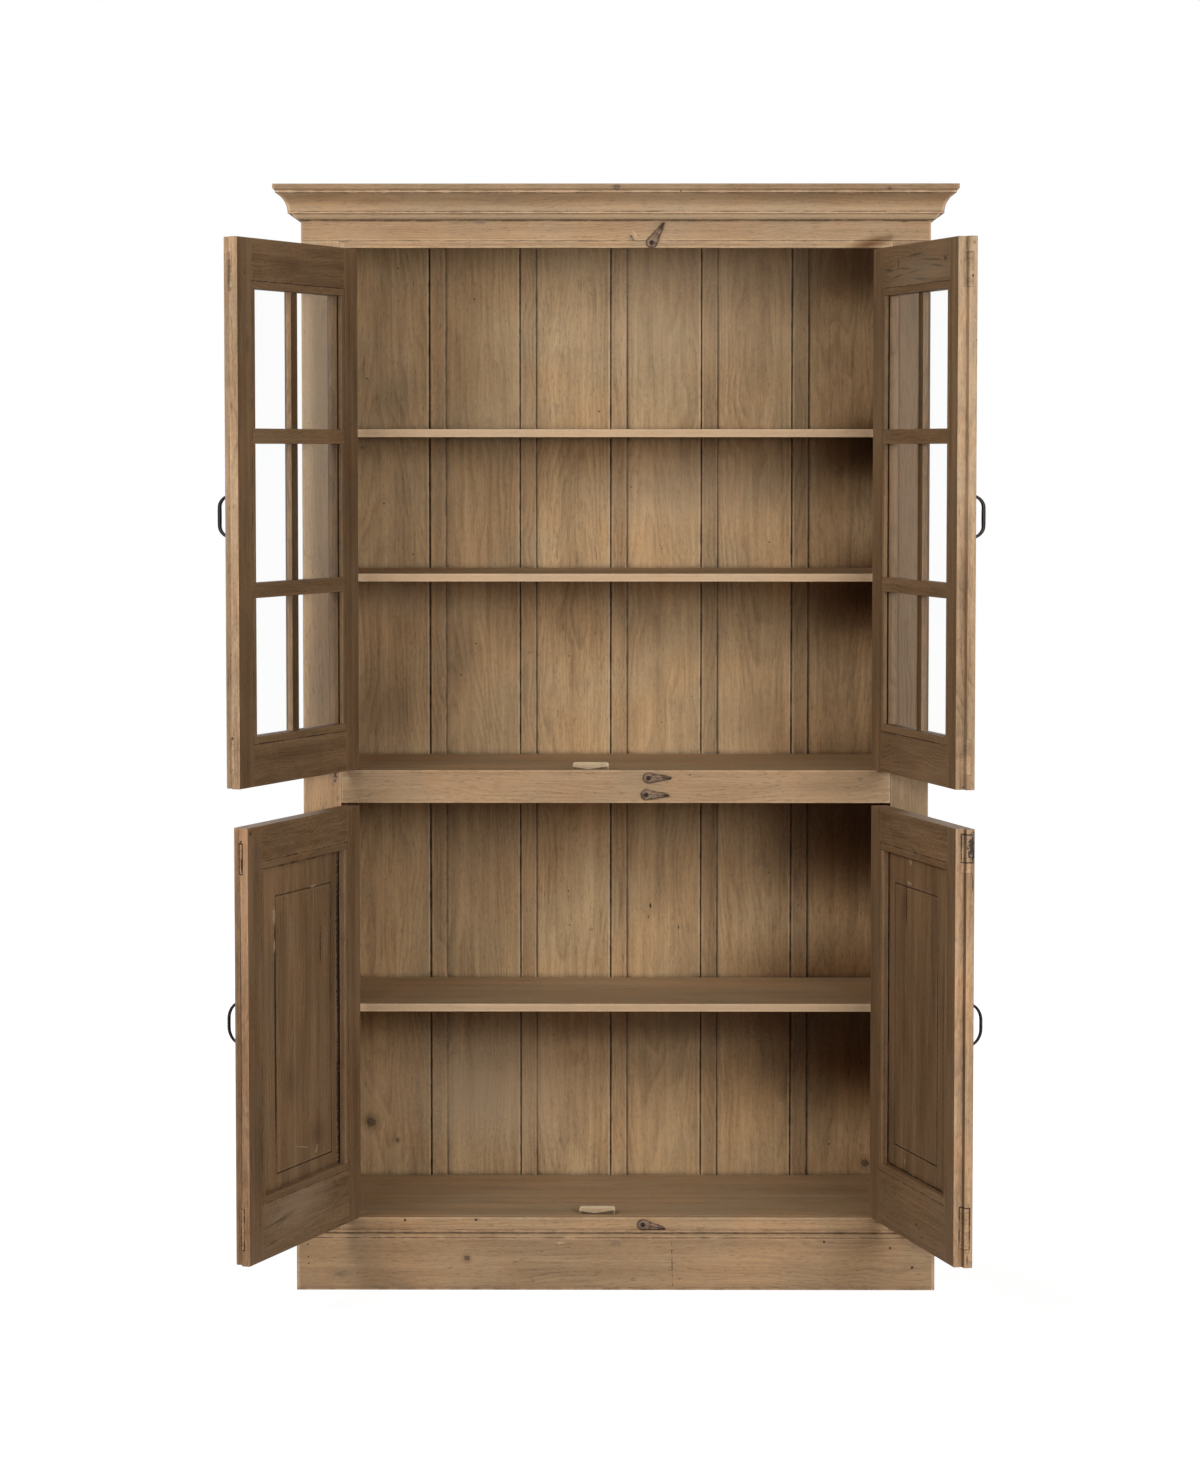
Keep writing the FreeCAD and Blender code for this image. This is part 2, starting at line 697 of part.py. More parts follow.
def make_door(name, side, angle, z0, z1, top_rail, bottom_rail, glazed, pull_height):
    """One door, all its pieces and the hinges that carry it."""
    sight_low = z0 + bottom_rail + bead_width
    sight_high = z1 - top_rail - bead_width
    rebate = glass_front if glazed else panel_front
    tenons = [(sight_high, z1 - tenon_haunch), (z0 + tenon_haunch, sight_low)]
    hinge_stile, meeting_stile = door_stiles(z0, z1, rebate, tenons)
    upper = door_rail(z1, sight_high, rebate, tenons[0])
    lower = door_rail(z0, sight_low, rebate, tenons[1])
    bevel = sight_cutter(sight_low, sight_high)
    framing = {"hinge_stile": hinge_stile, "meeting_stile": meeting_stile,
               "top_rail": upper, "bottom_rail": lower}
    pieces = {part: [trim_meeting_edge(solid.cut(bevel), side, z0, z1)]
              for part, solid in framing.items()}
    pieces["pull"] = [door_pull(pull_height, side)]
    if glazed:
        pieces["glazing_bars"] = glazing_lattice(sight_low, sight_high)
        pieces["glazing_beads"] = glazing_beads(sight_low, sight_high)
        pieces["glass_panes"] = glass_panes(sight_low, sight_high)
    else:
        margin = left_field_margin_bottom if side < 0 else right_field_margin_bottom
        pieces["panel"] = [door_panel(sight_low, sight_high, margin)]
        pieces["panel_beads"] = panel_beads(sight_low, sight_high)
    frame_leaves = []
    door_leaves = []
    pins = []
    for span in hinge_spans(z0, z1):
        frame, door, pin = hinge_pieces(span)
        frame_leaves.append(place(frame, side, 0))
        door_leaves.append(door)
        pins.append(place(pin, side, 0))
    pieces["hinge_leaves"] = door_leaves
    for part, solids in pieces.items():
        add(name + "_" + part, *[place(s, side, angle) for s in solids])
    return frame_leaves, pins


def make_doors():
    upper = (upper_opening_bottom + upper_door_gap_bottom, upper_opening_top - upper_door_gap_top,
             upper_top_rail, upper_bottom_rail, True, upper_pull_height)
    lower = (lower_opening_bottom + lower_door_gap_bottom, lower_opening_top - lower_door_gap_top,
             lower_top_rail, lower_bottom_rail, False, lower_pull_height)
    doors = (("upper_left", -1, upper_left_angle, upper), ("upper_right", 1, upper_right_angle, upper),
             ("lower_left", -1, lower_left_angle, lower), ("lower_right", 1, lower_right_angle, lower))
    all_leaves = []
    all_pins = []
    for name, side, angle, kind in doors:
        leaves, pins = make_door(name, side, angle, *kind)
        all_leaves += leaves
        all_pins += pins
    add("frame_hinge_leaves", *all_leaves)
    add("hinge_pins", *all_pins)


# Turn buttons: teardrop plates, each on one screw

def button_plate(angle):
    """A plate lying in the XZ plane about its pivot, round at the pivot and pointed at the tip."""
    taper = math.asin((button_radius - button_tip_radius) / button_reach)
    touch = math.pi / 2 - taper
    top_big = (button_radius * math.cos(touch), button_radius * math.sin(touch))
    top_tip = (button_reach + button_tip_radius * math.cos(touch),
               button_tip_radius * math.sin(touch))

    def at(x, z):
        return FreeCAD.Vector(x, 0, z)
    edges = [Part.makeLine(at(*top_big), at(*top_tip)),
             Part.Arc(at(*top_tip), at(button_reach + button_tip_radius, 0),
                      at(top_tip[0], -top_tip[1])).toShape(),
             Part.makeLine(at(top_tip[0], -top_tip[1]), at(top_big[0], -top_big[1])),
             Part.Arc(at(top_big[0], -top_big[1]), at(-button_radius, 0), at(*top_big)).toShape()]
    face = Part.Face(Part.Wire(edges))
    plate = face.extrude(FreeCAD.Vector(0, -button_thickness, 0))
    rim = [e for e in plate.Edges if abs(e.BoundBox.YMax + button_thickness) < edge_ease / 10]
    plate = plate.makeFillet(min(edge_ease, button_thickness / 4), rim)
    hole = cylinder(button_screw_radius + button_screw_fit, 0, -2 * button_thickness, 0,
                    3 * button_thickness, Y_AXIS)
    plate = plate.cut(hole)
    plate.rotate(ORIGIN, Y_AXIS, -angle)
    return plate


def button_screw():
    """A slotted round-head screw, its shank running back into the rail."""
    head_back = -button_clearance * 2 - button_thickness
    shank = cylinder(button_screw_radius, 0, head_back - button_head_height / 2, 0,
                     button_screw_length - head_back, Y_AXIS)
    head = cylinder(button_head_radius, 0, head_back - button_head_height, 0,
                    button_head_height, Y_AXIS)
    rim = [e for e in head.Edges
           if abs(e.BoundBox.YMax - (head_back - button_head_height)) < edge_ease / 10]
    head = head.makeFillet(button_head_height * 0.6, rim)
    slot = box(-button_head_radius, button_head_radius, head_back - 2 * button_head_height,
               head_back - button_head_height / 2, -button_slot / 2, button_slot / 2)
    return shank.fuse(head).removeSplitter().cut(slot)


def make_buttons():
    buttons = (("top_turn_button", top_button_across, upper_opening_top + top_button_rise,
                top_button_angle, "top_rail"),
               ("mid_upper_turn_button", mid_upper_button_across,
                upper_opening_bottom - mid_upper_button_drop, mid_upper_button_angle, "mid_rail"),
               ("mid_lower_turn_button", mid_lower_button_across,
                lower_opening_top + mid_lower_button_rise, mid_lower_button_angle, "mid_rail"),
               ("bottom_turn_button", bottom_button_across,
                plinth_height + cap_height + bottom_button_rise, bottom_button_angle,
                "bottom_rail"))
    screws = []
    for name, x, z, angle, rail in buttons:
        plate = button_plate(angle)
        plate.translate(FreeCAD.Vector(x, face_y - button_clearance, z))
        add(name, plate)
        screw = button_screw()
        screw.translate(FreeCAD.Vector(x, face_y, z))
        screws.append(screw)
        hole = cylinder(button_screw_radius, x, face_y - button_thickness, z,
                        button_thickness + button_screw_length + button_head_height, Y_AXIS)
        nodes[rail] = [solid.cut(hole) for solid in nodes[rail]]
    add("button_screws", *screws)


make_carcase()
make_mouldings()
make_inside()
make_back()
make_doors()
make_buttons()

os.makedirs("parts", exist_ok=True)
for node_name, solids in nodes.items():
    shape = solids[0] if len(solids) == 1 else Part.makeCompound(solids)
    shape.exportStep("parts/" + node_name + ".step")
    print(node_name, len(shape.Solids), "solids", round(shape.Volume / 1000), "cm3",
          "valid" if shape.isValid() else "NOT VALID")
print(len(nodes), "nodes")
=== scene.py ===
# %% [markdown]
# # A tall wooden cabinet, dressed for its photograph
# The cabinet has two glazed doors over two panelled doors, and all four stand open. The wood is
# old and waxed: a warm taupe with fine dark pores, pale worn arrises and grime in its corners.
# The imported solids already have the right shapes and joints. This lesson puts a camera and lights
# in front of them, gives each board its own grain, and models the small ironwork and worn blocks.

# %% Load the solids
import json
import math

import bpy
from mathutils import Matrix, Vector

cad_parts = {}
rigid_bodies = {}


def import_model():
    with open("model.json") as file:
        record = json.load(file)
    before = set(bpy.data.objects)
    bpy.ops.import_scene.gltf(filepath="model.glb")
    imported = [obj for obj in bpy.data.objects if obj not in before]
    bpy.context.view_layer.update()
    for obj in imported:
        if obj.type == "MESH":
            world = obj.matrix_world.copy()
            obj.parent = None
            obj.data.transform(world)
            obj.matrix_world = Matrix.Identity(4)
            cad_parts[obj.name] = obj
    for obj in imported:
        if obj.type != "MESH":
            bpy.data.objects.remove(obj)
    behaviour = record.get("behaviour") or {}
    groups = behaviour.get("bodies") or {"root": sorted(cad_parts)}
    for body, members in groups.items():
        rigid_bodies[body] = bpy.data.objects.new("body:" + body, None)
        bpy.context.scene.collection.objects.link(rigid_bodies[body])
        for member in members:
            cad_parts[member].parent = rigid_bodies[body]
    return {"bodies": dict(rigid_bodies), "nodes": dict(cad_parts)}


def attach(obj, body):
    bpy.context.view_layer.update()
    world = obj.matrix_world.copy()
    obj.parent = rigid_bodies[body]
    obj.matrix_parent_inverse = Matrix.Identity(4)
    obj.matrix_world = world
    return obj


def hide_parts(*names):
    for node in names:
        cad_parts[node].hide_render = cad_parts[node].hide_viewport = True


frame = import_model()
for leftover in list(bpy.data.objects):
    if leftover not in frame["nodes"].values() and leftover not in frame["bodies"].values():
        bpy.data.objects.remove(leftover)
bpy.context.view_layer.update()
scene = bpy.context.scene
bpy.ops.object.select_all(action="DESELECT")

# %% [markdown]
# The photograph was taken from seven and a half metres away with a long lens, at the height of
# the upper shelves and tilted slightly down. A long lens keeps the uprights nearly parallel. The
# same place, tilt and lens are given here, so that every board falls where it should.

# %% The camera
camera_data = bpy.data.cameras.new("camera")
camera_data.lens = 103.03
camera_data.sensor_width = 36.0
camera = bpy.data.objects.new("camera", camera_data)
camera.location = (0.0122, -7.5909, 1.519)
camera.rotation_euler = (math.radians(86.094), 0.0, math.radians(0.3053))
scene.collection.objects.link(camera)
scene.camera = camera
scene.view_settings.view_transform = "Standard"
print("camera", tuple(camera.location), "lens", camera_data.lens)

# %% [markdown]
# Shader trees are quicker to read when each node takes one line. One tree is open at a time, and
# new nodes go into it. A node's output is kept as a signal, and reckoning with signals, as in
# a - b, adds a Math node. A group is made once, with named sockets, and is then placed in many
# materials with other values.

# %% Helpers for shader trees
ZERO = (0.0, 0.0, 0.0)
tree = None


def open_tree(new_tree):
    """From here on, new nodes go into this tree. It starts empty."""
    global tree
    tree = new_tree
    tree.nodes.clear()


class Signal:
    """A node's output, to link to other nodes or to reckon with."""

    def __init__(self, socket):
        self.socket = socket

    def __add__(self, other):
        return maths("ADD", self, other)

    def __sub__(self, other):
        return maths("SUBTRACT", self, other)

    def __rsub__(self, other):
        return maths("SUBTRACT", other, self)

    def __mul__(self, other):
        return maths("MULTIPLY", self, other)

    def __truediv__(self, other):
        return maths("DIVIDE", self, other)

    def __lt__(self, other):
        return maths("LESS_THAN", self, other)

    def __gt__(self, other):
        return maths("GREATER_THAN", self, other)

    def __abs__(self):
        return maths("ABSOLUTE", self)


class Outputs:
    """A node's outputs as signals, by name, by number or in order."""

    def __init__(self, node):
        self.node = node

    def __getitem__(self, key):
        return Signal(self.node.outputs[key])


def add_node(kind, inputs=None, **options):
    """Adds a node, sets its options, fills or links its inputs, and gives its outputs."""
    node = tree.nodes.new("ShaderNode" + kind)
    for option, value in options.items():
        setattr(node, option, value)
    for socket, value in (inputs or {}).items():
        if isinstance(value, Signal):
            tree.links.new(value.socket, node.inputs[socket])
        else:
            node.inputs[socket].default_value = value
    return Outputs(node)


def maths(operation, *values, clamp=False):
    return add_node("Math", dict(enumerate(values)), operation=operation, use_clamp=clamp)[0]


def vector_maths(operation, *values):
    """A Vector Math node. A single number stands for three equal ones."""
    outputs = add_node("VectorMath", dict(enumerate(values)), operation=operation)
    return outputs["Value" if operation in ("LENGTH", "DOT_PRODUCT") else "Vector"]


def split(vector):
    return add_node("SeparateXYZ", {0: vector})


def ramp(value, low, high, to_low=0.0, to_high=1.0):
    """A value eased from one range into another, held at both ends."""
    return add_node("MapRange", {0: value, 1: low, 2: high, 3: to_low, 4: to_high},
                    interpolation_type="SMOOTHSTEP")[0]


def tint(colour, mask, paint, mode="MIX"):
    """A colour with a paint over it where the mask is 1. Either may be three plain numbers."""
    colour, paint = (c if isinstance(c, Signal) else (*c, 1) for c in (colour, paint))
    return add_node("Mix", {0: mask, 6: colour, 7: paint}, data_type="RGBA", blend_type=mode)[2]


def noise(vector, across, along=None, detail=3.0, roughness=0.55):
    """Noise with its own fineness across and along the grain, in waves per metre."""
    scaled = vector_maths("MULTIPLY", vector, (across, across, along or across))
    return add_node("TexNoise", {"Vector": scaled, "Scale": 1.0, "Detail": detail,
                                 "Roughness": roughness})[0]


def new_group(name, inputs):
    """Opens a new shader group with named inputs, and gives the signals that come in."""
    open_tree(bpy.data.node_groups.new(name, "ShaderNodeTree"))
    for title, default in inputs.items():
        kind = "NodeSocketFloat" if isinstance(default, float) else "NodeSocketVector"
        socket = tree.interface.new_socket(title, in_out="INPUT", socket_type=kind)
        socket.default_value = default
    return Outputs(tree.nodes.new("NodeGroupInput"))


def send_out(**values):
    """Makes an output of the open group for each value. Gives the finished group."""
    for title, value in values.items():
        kind = "NodeSocketVector" if value.socket.type == "VECTOR" else "NodeSocketFloat"
        tree.interface.new_socket(title.capitalize(), in_out="OUTPUT", socket_type=kind)
    outgoing = tree.nodes.new("NodeGroupOutput").inputs
    for title, value in values.items():
        tree.links.new(value.socket, outgoing[title.capitalize()])
    print("group", tree.name, len(tree.nodes), "nodes")
    return tree


def place_group(group, inputs):
    return add_node("Group", inputs, node_tree=group)


def bumpy(height, distance, values, strength=0.4):
    """A Principled shader whose surface is raised and sunk by a height."""
    bump = add_node("Bump", {"Height": height, "Strength": strength, "Distance": distance})
    return add_node("BsdfPrincipled", {"Normal": bump[0], **values})[0]


def new_material(name):
    """Opens a new material. Gives it and the coordinates of the object that will wear it."""
    material = bpy.data.materials.new(name)
    material.use_nodes = True
    open_tree(material.node_tree)
    return material, add_node("TexCoord")["Object"]


# %% [markdown]
# The studio is a pale floor under a white backdrop. Large soft lamps stand to the left and right
# in front of the cabinet, above its shelves, so that each shelf shades the boards under it and
# the doors' inner faces stay dark. Two more light the back from behind, low enough that the
# cabinet keeps them off its own front. The camera sees the world as plain white, and so do glass
# and metal. Everything else gets only a dim fill from it. The floor would fade to grey away from
# the lamps, so it glows for the camera, and a little more the further off it lies. Its paint is
# rather dark, because a bright floor would light the shelves from below.

# %% Floor, backdrop and lamps
def seen_plainly():
    """1 for rays from the camera and those that metal or glass send on, and 0 for the rest."""
    path = add_node("LightPath")
    seen = maths("MAXIMUM", path["Is Camera Ray"], path["Is Glossy Ray"])
    return maths("MAXIMUM", seen, path["Is Transmission Ray"])


white = (1, 1, 1, 1)
world = bpy.data.worlds.new("studio")
world.use_nodes = True
scene.world = world
open_tree(world.node_tree)
dim_fill = 0.008
strength = maths("MAXIMUM", seen_plainly(), dim_fill)
backdrop = add_node("Background", {"Color": white, "Strength": strength})
add_node("OutputWorld", {"Surface": backdrop[0]})

bpy.ops.mesh.primitive_plane_add(size=40.0, location=ZERO)
floor = bpy.context.object
floor.name = "floor"
floor_paint, plain = new_material("pale_floor")
matt = add_node("BsdfDiffuse", {"Color": (0.28, 0.28, 0.28, 1)})
far_glow = ramp(vector_maths("LENGTH", plain), 0.7, 1.9, 0.91, 1.0)
glow = add_node("Emission", {"Color": white, "Strength": seen_plainly() * far_glow})
both = add_node("AddShader", {0: matt[0], 1: glow[0]})
add_node("OutputMaterial", {"Surface": both[0]})
floor.data.materials.append(floor_paint)

lamps = {"left_key": ((-2.4, -4.0, 2.7), 1.0, 65.0),
         "right_key": ((2.4, -6.0, 1.8), 1.0, 74.0),
         "right_side": ((2.4, -4.0, 1.8), 1.0, 24.0),
         "right_middle": ((1.2, -4.0, 1.8), 1.0, 15.0),
         "left_near": ((-1.2, -2.6, 2.0), 1.0, 13.0),
         "right_near": ((1.2, -2.6, 2.0), 1.0, 11.0),
         "rear_left": ((-2.6, 5.5, 2.9), 1.5, 95.0),
         "rear_right": ((2.6, 5.5, 2.9), 1.5, 80.0)}
lamp_target = Vector((0.0, 0.2, 1.05))
for name, (place, size, power) in lamps.items():
    lamp_data = bpy.data.lights.new(name, "AREA")
    lamp_data.size = size
    lamp_data.energy = power
    lamp = bpy.data.objects.new(name, lamp_data)
    lamp.location = place
    lamp.rotation_euler = (lamp_target - Vector(place)).to_track_quat("-Z", "Y").to_euler()
    lamp.visible_camera = False
    scene.collection.objects.link(lamp)
print("lamps", sorted(lamps))

# %% [markdown]
# A board is sawn along a trunk, and a trunk is a stack of thin cones. Where the saw runs through
# them the rings show as long arches. So the grain group measures the distance from a slightly
# tilted heart line behind the board's face, wobbles it, and repeats it every few millimetres.
# Each board in a row gets its own heart line from its number, so that no two look alike. Noise
# stretched along the board adds fibres, streaks and pores. Finer noise adds the sandy look of
# scrubbed wood, and slow noise adds clouds of tone.

# %% The grain group
given = new_group("board grain", {
    "Vector": ZERO, "Board width": 10.0, "Board start": -5.0, "Strip width": 0.0,
    "Seed": 0.0, "Ring spacing": 0.0068})
across, through, along = split(given["Vector"])
from_start = across - given["Board start"]
number = maths("FLOOR", from_start / given["Board width"])
within = from_start - number * given["Board width"]
strip = within < given["Strip width"]
number = number + strip * 0.37
chance = add_node("TexWhiteNoise", {"W": number + given["Seed"]}, noise_dimensions="1D")
first, second, third = add_node("SeparateColor", {0: chance["Color"]})
shift = add_node("CombineXYZ", {0: first * 9.0, 1: second * 7.0, 2: third * 5.0})
shifted = vector_maths("ADD", given["Vector"], shift[0])
sway = noise(shifted, 6.0, 1.6)
sag = noise(vector_maths("ADD", shifted, (3.1, 4.7, 5.9)), 9.0, 2.0, detail=2.0)
aside = (sway - 0.5) * 0.16 + (within - given["Board width"] * (first * 0.5 + 0.25))
slope = abs((along - second * 2.0) * 0.05)
depth = (third * 0.03 + 0.006) + (sag * 0.06 + slope)
away = maths("SQRT", aside * aside + depth * depth)
part_ring = maths("FRACT", away / given["Ring spacing"])
rings = maths("POWER", part_ring, 1.7) * ramp(part_ring, 0.72, 1.0, 1.0, 0.0)
faded = ramp(noise(shifted, 22.0, 5.0, detail=2.0), 0.36, 0.62, 0.25, 1.0)
pores = ramp(noise(shifted, 420.0, 60.0, detail=1.0), 0.62, 0.72)
grain_group = send_out(
    rings=rings * faded, pores=pores, tone=first, strip=strip, within=within,
    fibre=noise(shifted, 240.0, 9.0, detail=4.0, roughness=0.65),
    streaks=noise(shifted, 46.0, 0.9), clouds=noise(shifted, 13.0, 3.2, detail=4.0),
    sand=noise(shifted, 340.0, 110.0, roughness=0.7))

# %% [markdown]
# Old furniture is pale where hands and cloths rub its arrises, and dark where wax and dust
# settle in its corners. The wear group looks a few millimetres into the wood to find the arrises
# and a little way out of it to find the corners, those with the next piece too. The darkening in
# the corners falls where shade falls, so it is dirt and painted shade at once. It breaks both up
# with noise, and scatters small dark specks and dents over the faces.

# %% The wear group
given = new_group("wear and grime", {"Vector": ZERO, "Seed": 0.0})
rubbed = add_node("AmbientOcclusion", {"Distance": 0.0045}, samples=4, inside=True,
                  only_local=True)["AO"]
corner = add_node("AmbientOcclusion", {"Distance": 0.014}, samples=4)["AO"]
moved = vector_maths("ADD", given["Vector"], given["Seed"])
patches = noise(moved, 28.0, detail=4.0, roughness=0.7)
worn = ramp(1.0 - rubbed, 0.10, 0.42) * ramp(patches, 0.34, 0.62, 0.25, 1.0)
# Corner darkening: dirt and painted shade.
grime = ramp(1.0 - corner, 0.12, 0.60) * ramp(patches, 0.30, 0.70, 1.0, 0.55)
cells = add_node("TexVoronoi", {"Vector": moved, "Scale": 34.0, "Randomness": 1.0})
chosen = add_node("SeparateColor", {0: cells["Color"]})
dot = cells["Distance"] < (chosen[1] * 0.05 + 0.02)
wear_group = send_out(
    worn=worn, grime=grime, specks=dot * (chosen[0] > 0.86),
    smudges=ramp(noise(moved, 16.0, roughness=0.6), 0.60, 0.78))

# %% [markdown]
# A knot is a branch that the trunk grew round. The rings of the branch make a dark eye, and the
# board's own grain bends past it. The knot group gives both: a mask for the eye, and a vector
# that is pulled towards the knot, so that the grain read through it bulges.

# %% The knot group
given = new_group("knot", {"Vector": ZERO, "Centre": ZERO, "Radius": 0.008})
offset = vector_maths("SUBTRACT", given["Vector"], given["Centre"])
reach = vector_maths("LENGTH", offset) / given["Radius"]
uneven = (noise(given["Vector"], 90.0, detail=2.0) - 0.5) * 0.9 + reach
branch = maths("SINE", uneven * 14.0) * 0.25 + 0.75
drawn_in = vector_maths("MULTIPLY", offset, ramp(reach, 0.0, 4.0, 1.0, 0.0) * 0.8)
knot_group = send_out(
    eye=ramp(uneven, 0.75, 1.05, 1.0, 0.0) * branch, halo=ramp(uneven, 0.9, 2.6, 1.0, 0.0),
    vector=vector_maths("SUBTRACT", given["Vector"], drawn_in))

# %% [markdown]
# Age also leaves single marks: nail holes, scratches, stains, chips and cracks. The mark group
# gives a ragged oval at a place on a board's face, with its own half sizes and its own lean. A
# crack is only a very thin oval, and so is the joint where one board's end meets the next. Large
# soft ovals of the same kind also lay painted shade and painted light on some boards.

# %% The mark group
given = new_group("mark", {"Vector": ZERO, "Centre": ZERO, "Size": (0.01, 0.01, 0.01),
                           "Lean": 0.0, "Ragged": 0.3, "Softness": 0.3})
offset = vector_maths("SUBTRACT", given["Vector"], given["Centre"])
leaning = add_node("VectorRotate", {"Vector": offset, "Angle": given["Lean"]},
                   rotation_type="Y_AXIS")[0]
reach = vector_maths("LENGTH", vector_maths("DIVIDE", leaning, given["Size"]))
uneven = (noise(given["Vector"], 230.0) - 0.5) * (given["Ragged"] * 4.0) + reach
mark_group = send_out(mask=ramp(uneven, 1.0 - given["Softness"], 1.0, 1.0, 0.0))

# %% [markdown]
# Where two pieces meet, shrinking wood opens a fine gap, and the gap fills with dirt. Round a
# tenon, a bead or a panel's field this draws a dark rectangle, wide in some places and lost in
# others. The outline group measures the distance to the outline of a box and lets noise decide
# how wide the line is. Run right round a piece, such a line also paints the shadow under the
# crown.

# %% The outline group
given = new_group("outline", {"Vector": ZERO, "Centre": ZERO,
                              "Half size": (0.1, 0.1, 0.1), "Width": 0.001})
offset = vector_maths("SUBTRACT", given["Vector"], given["Centre"])
x, y, z = split(vector_maths("SUBTRACT", vector_maths("ABSOLUTE", offset),
                             given["Half size"]))
outside = maths("MAXIMUM", maths("MAXIMUM", x, y), z)
opened = ramp(noise(given["Vector"], 30.0, detail=4.0, roughness=0.7), 0.36, 0.62, 0.25, 1.5)
nearness = abs(outside) / (given["Width"] * opened)
outline_group = send_out(mask=ramp(nearness, 0.5, 1.0, 1.0, 0.0))

# %% [markdown]
# Each board's grain runs its own way: up a stile, across a rail, round the corner of a moulding.
# A Mapping node turns the object's coordinates so that the third one always runs along the
# grain. A door's boards are first turned back with the door, as if it were closed.

# %% Turning the grain
UPRIGHT = ((1, 0, 0), (0, 1, 0), (0, 0, 1))
LYING = ((0, 0, 1), (0, -1, 0), (1, 0, 0))
FLAT = ((0, 1, 0), (0, 0, 1), (1, 0, 0))
SIDEWAYS = ((0, 1, 0), (-1, 0, 0), (0, 0, 1))
carcase_half_width = 0.5625
face_y = 0.0075
door_sights = {"upper": (1.0325, 1.7915), "lower": (0.2435, 0.8070)}
cross_bar_from_middle = 0.13083
cross_bar_half = 0.0131


def grain_space(vector, turn=UPRIGHT, door=None):
    """Coordinates across, through and along the grain."""
    turned = Matrix(turn)
    origin = Vector(ZERO)
    if door:
        turned = turned @ door_turn(door).transposed()
        origin = door_hinge(door)
    return add_node("Mapping", {"Vector": vector, "Location": -(turned @ origin),
                                "Rotation": turned.to_euler()})[0]


def choose(test, no, yes):
    """One of two vectors."""
    return add_node("Mix", {0: test, 4: no, 5: yes}, data_type="VECTOR")[1]


def lattice_grain(vector, local, door, upright):
    """Grain up the upright bars and beads, and across on the cross bars and level beads."""
    low, high = door_sights[door.split("_")[0]]
    from_middle = abs(split(local)[2] - (low + high) / 2)
    level = from_middle > (high - low) / 2
    if door.startswith("upper"):
        cross_bar = maths("COMPARE", from_middle, cross_bar_from_middle, cross_bar_half)
        level = maths("MAXIMUM", level, cross_bar)
    return choose(level, upright, grain_space(vector, LYING, door))


def wrapped_grain(vector):
    """Grain that follows a moulding round both front corners, and the mitre line itself."""
    x, y, z = split(vector)
    past = abs(x) - (carcase_half_width + face_y) + y
    front = add_node("CombineXYZ", {0: z, 1: y, 2: x})[0]
    side = add_node("CombineXYZ", {0: z, 1: x, 2: y})[0]
    return choose(past > 0.0, front, side), ramp(abs(past), 0.0002, 0.0011, 1.0, 0.0)


# %% [markdown]
# What belongs to a door is placed in the closed door, measured from its hinge, and swung open
# with the same turn as the solids. Left doors turn one way and right doors the other. The open
# angles were measured in the photograph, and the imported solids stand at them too.

# %% How each door stands
open_angles = {"upper_left": 110.3, "upper_right": 103.6, "lower_left": 108.8,
               "lower_right": 103.7}
hinge_x = 0.49375
hinge_y = 0.0025
door_free = 0.49875


def door_side(door):
    return -1 if door.endswith("left") else 1


def door_turn(door):
    return Matrix.Rotation(math.radians(door_side(door) * open_angles[door]), 3, "Z")


def door_hinge(door):
    return Vector((door_side(door) * hinge_x, hinge_y, 0.0))


print("doors", open_angles)

# %% [markdown]
# Marks are listed in small tables. A row gives a mark's kind, how far across and how high it
# lies, its half width and half height, and its lean if it has one. Lengths are in millimetres,
# angles in degrees, and commas part the rows. The kinds differ in paint, strength, raggedness
# and softness.

# %% Marks and outlines
# The darkest paint fills holes, cracks and gaps and also paints shadows; the brown stain also
# paints shade, and the pale paint also paints light and highlights.
hole_and_shadow_black = (0.016, 0.010, 0.007)
painted_shade_brown = (0.34, 0.24, 0.14)
brown_stain_and_shade = (0.075, 0.042, 0.022)
grey_stain = (0.115, 0.100, 0.088)
pale_wear_and_highlight = (0.62, 0.47, 0.31)
# Painted light and shade among the kinds: the one that multiplies the colour is painted shade, and
# the pale one at strength 0.45 is painted light. The dark kind is painted shade on the back boards
# and the band kind on the crown. Worn is real wear in small marks, but its large patches on the
# back, the crown and the left stile are painted light. The ring round each turn button is dirt and
# painted shadow.
mark_kinds = {"nail": (hole_and_shadow_black, 0.90, 0.15, 0.4), "rust": (brown_stain_and_shade, 0.45, 0.2, 0.8),
              "line": (hole_and_shadow_black, 0.85, 0.5, 0.4), "crack": (hole_and_shadow_black, 0.85, 0.8, 0.4),
              "stain": (brown_stain_and_shade, 0.50, 0.5, 0.9), "smudge": (grey_stain, 0.45, 0.5, 0.9),
              "chip": (pale_wear_and_highlight, 0.60, 0.6, 0.4), "worn": (pale_wear_and_highlight, 0.28, 0.25, 0.9),
              "dark": (brown_stain_and_shade, 0.42, 0.10, 1.0), "gloom": (painted_shade_brown, 1.0, 0.05, 1.0),
              "dirt_and_shadow": (hole_and_shadow_black, 0.75, 0.12, 0.35), "band": (brown_stain_and_shade, 0.26, 0.03, 1.0),
              "bleached": (pale_wear_and_highlight, 0.45, 0.25, 0.9)}
mark_depth = 0.006
edge_mark_depth = 0.005
disc_dirt_and_shadow = 0.0113
tip_dirt_and_shadow = (0.0240, mark_depth, 0.0066)
tip_dirt_and_shadow_out = 0.020
right_round = 20.0
level_strength = 0.6


def rows_of(table):
    """The rows of a table of marks, in metres, each with a lean."""
    for row in filter(str.strip, table.split(",")):
        kind, *numbers = row.split()
        *lengths, lean = [*map(float, numbers), 0.0][:5]
        yield (kind, *(length / 1000 for length in lengths), lean)


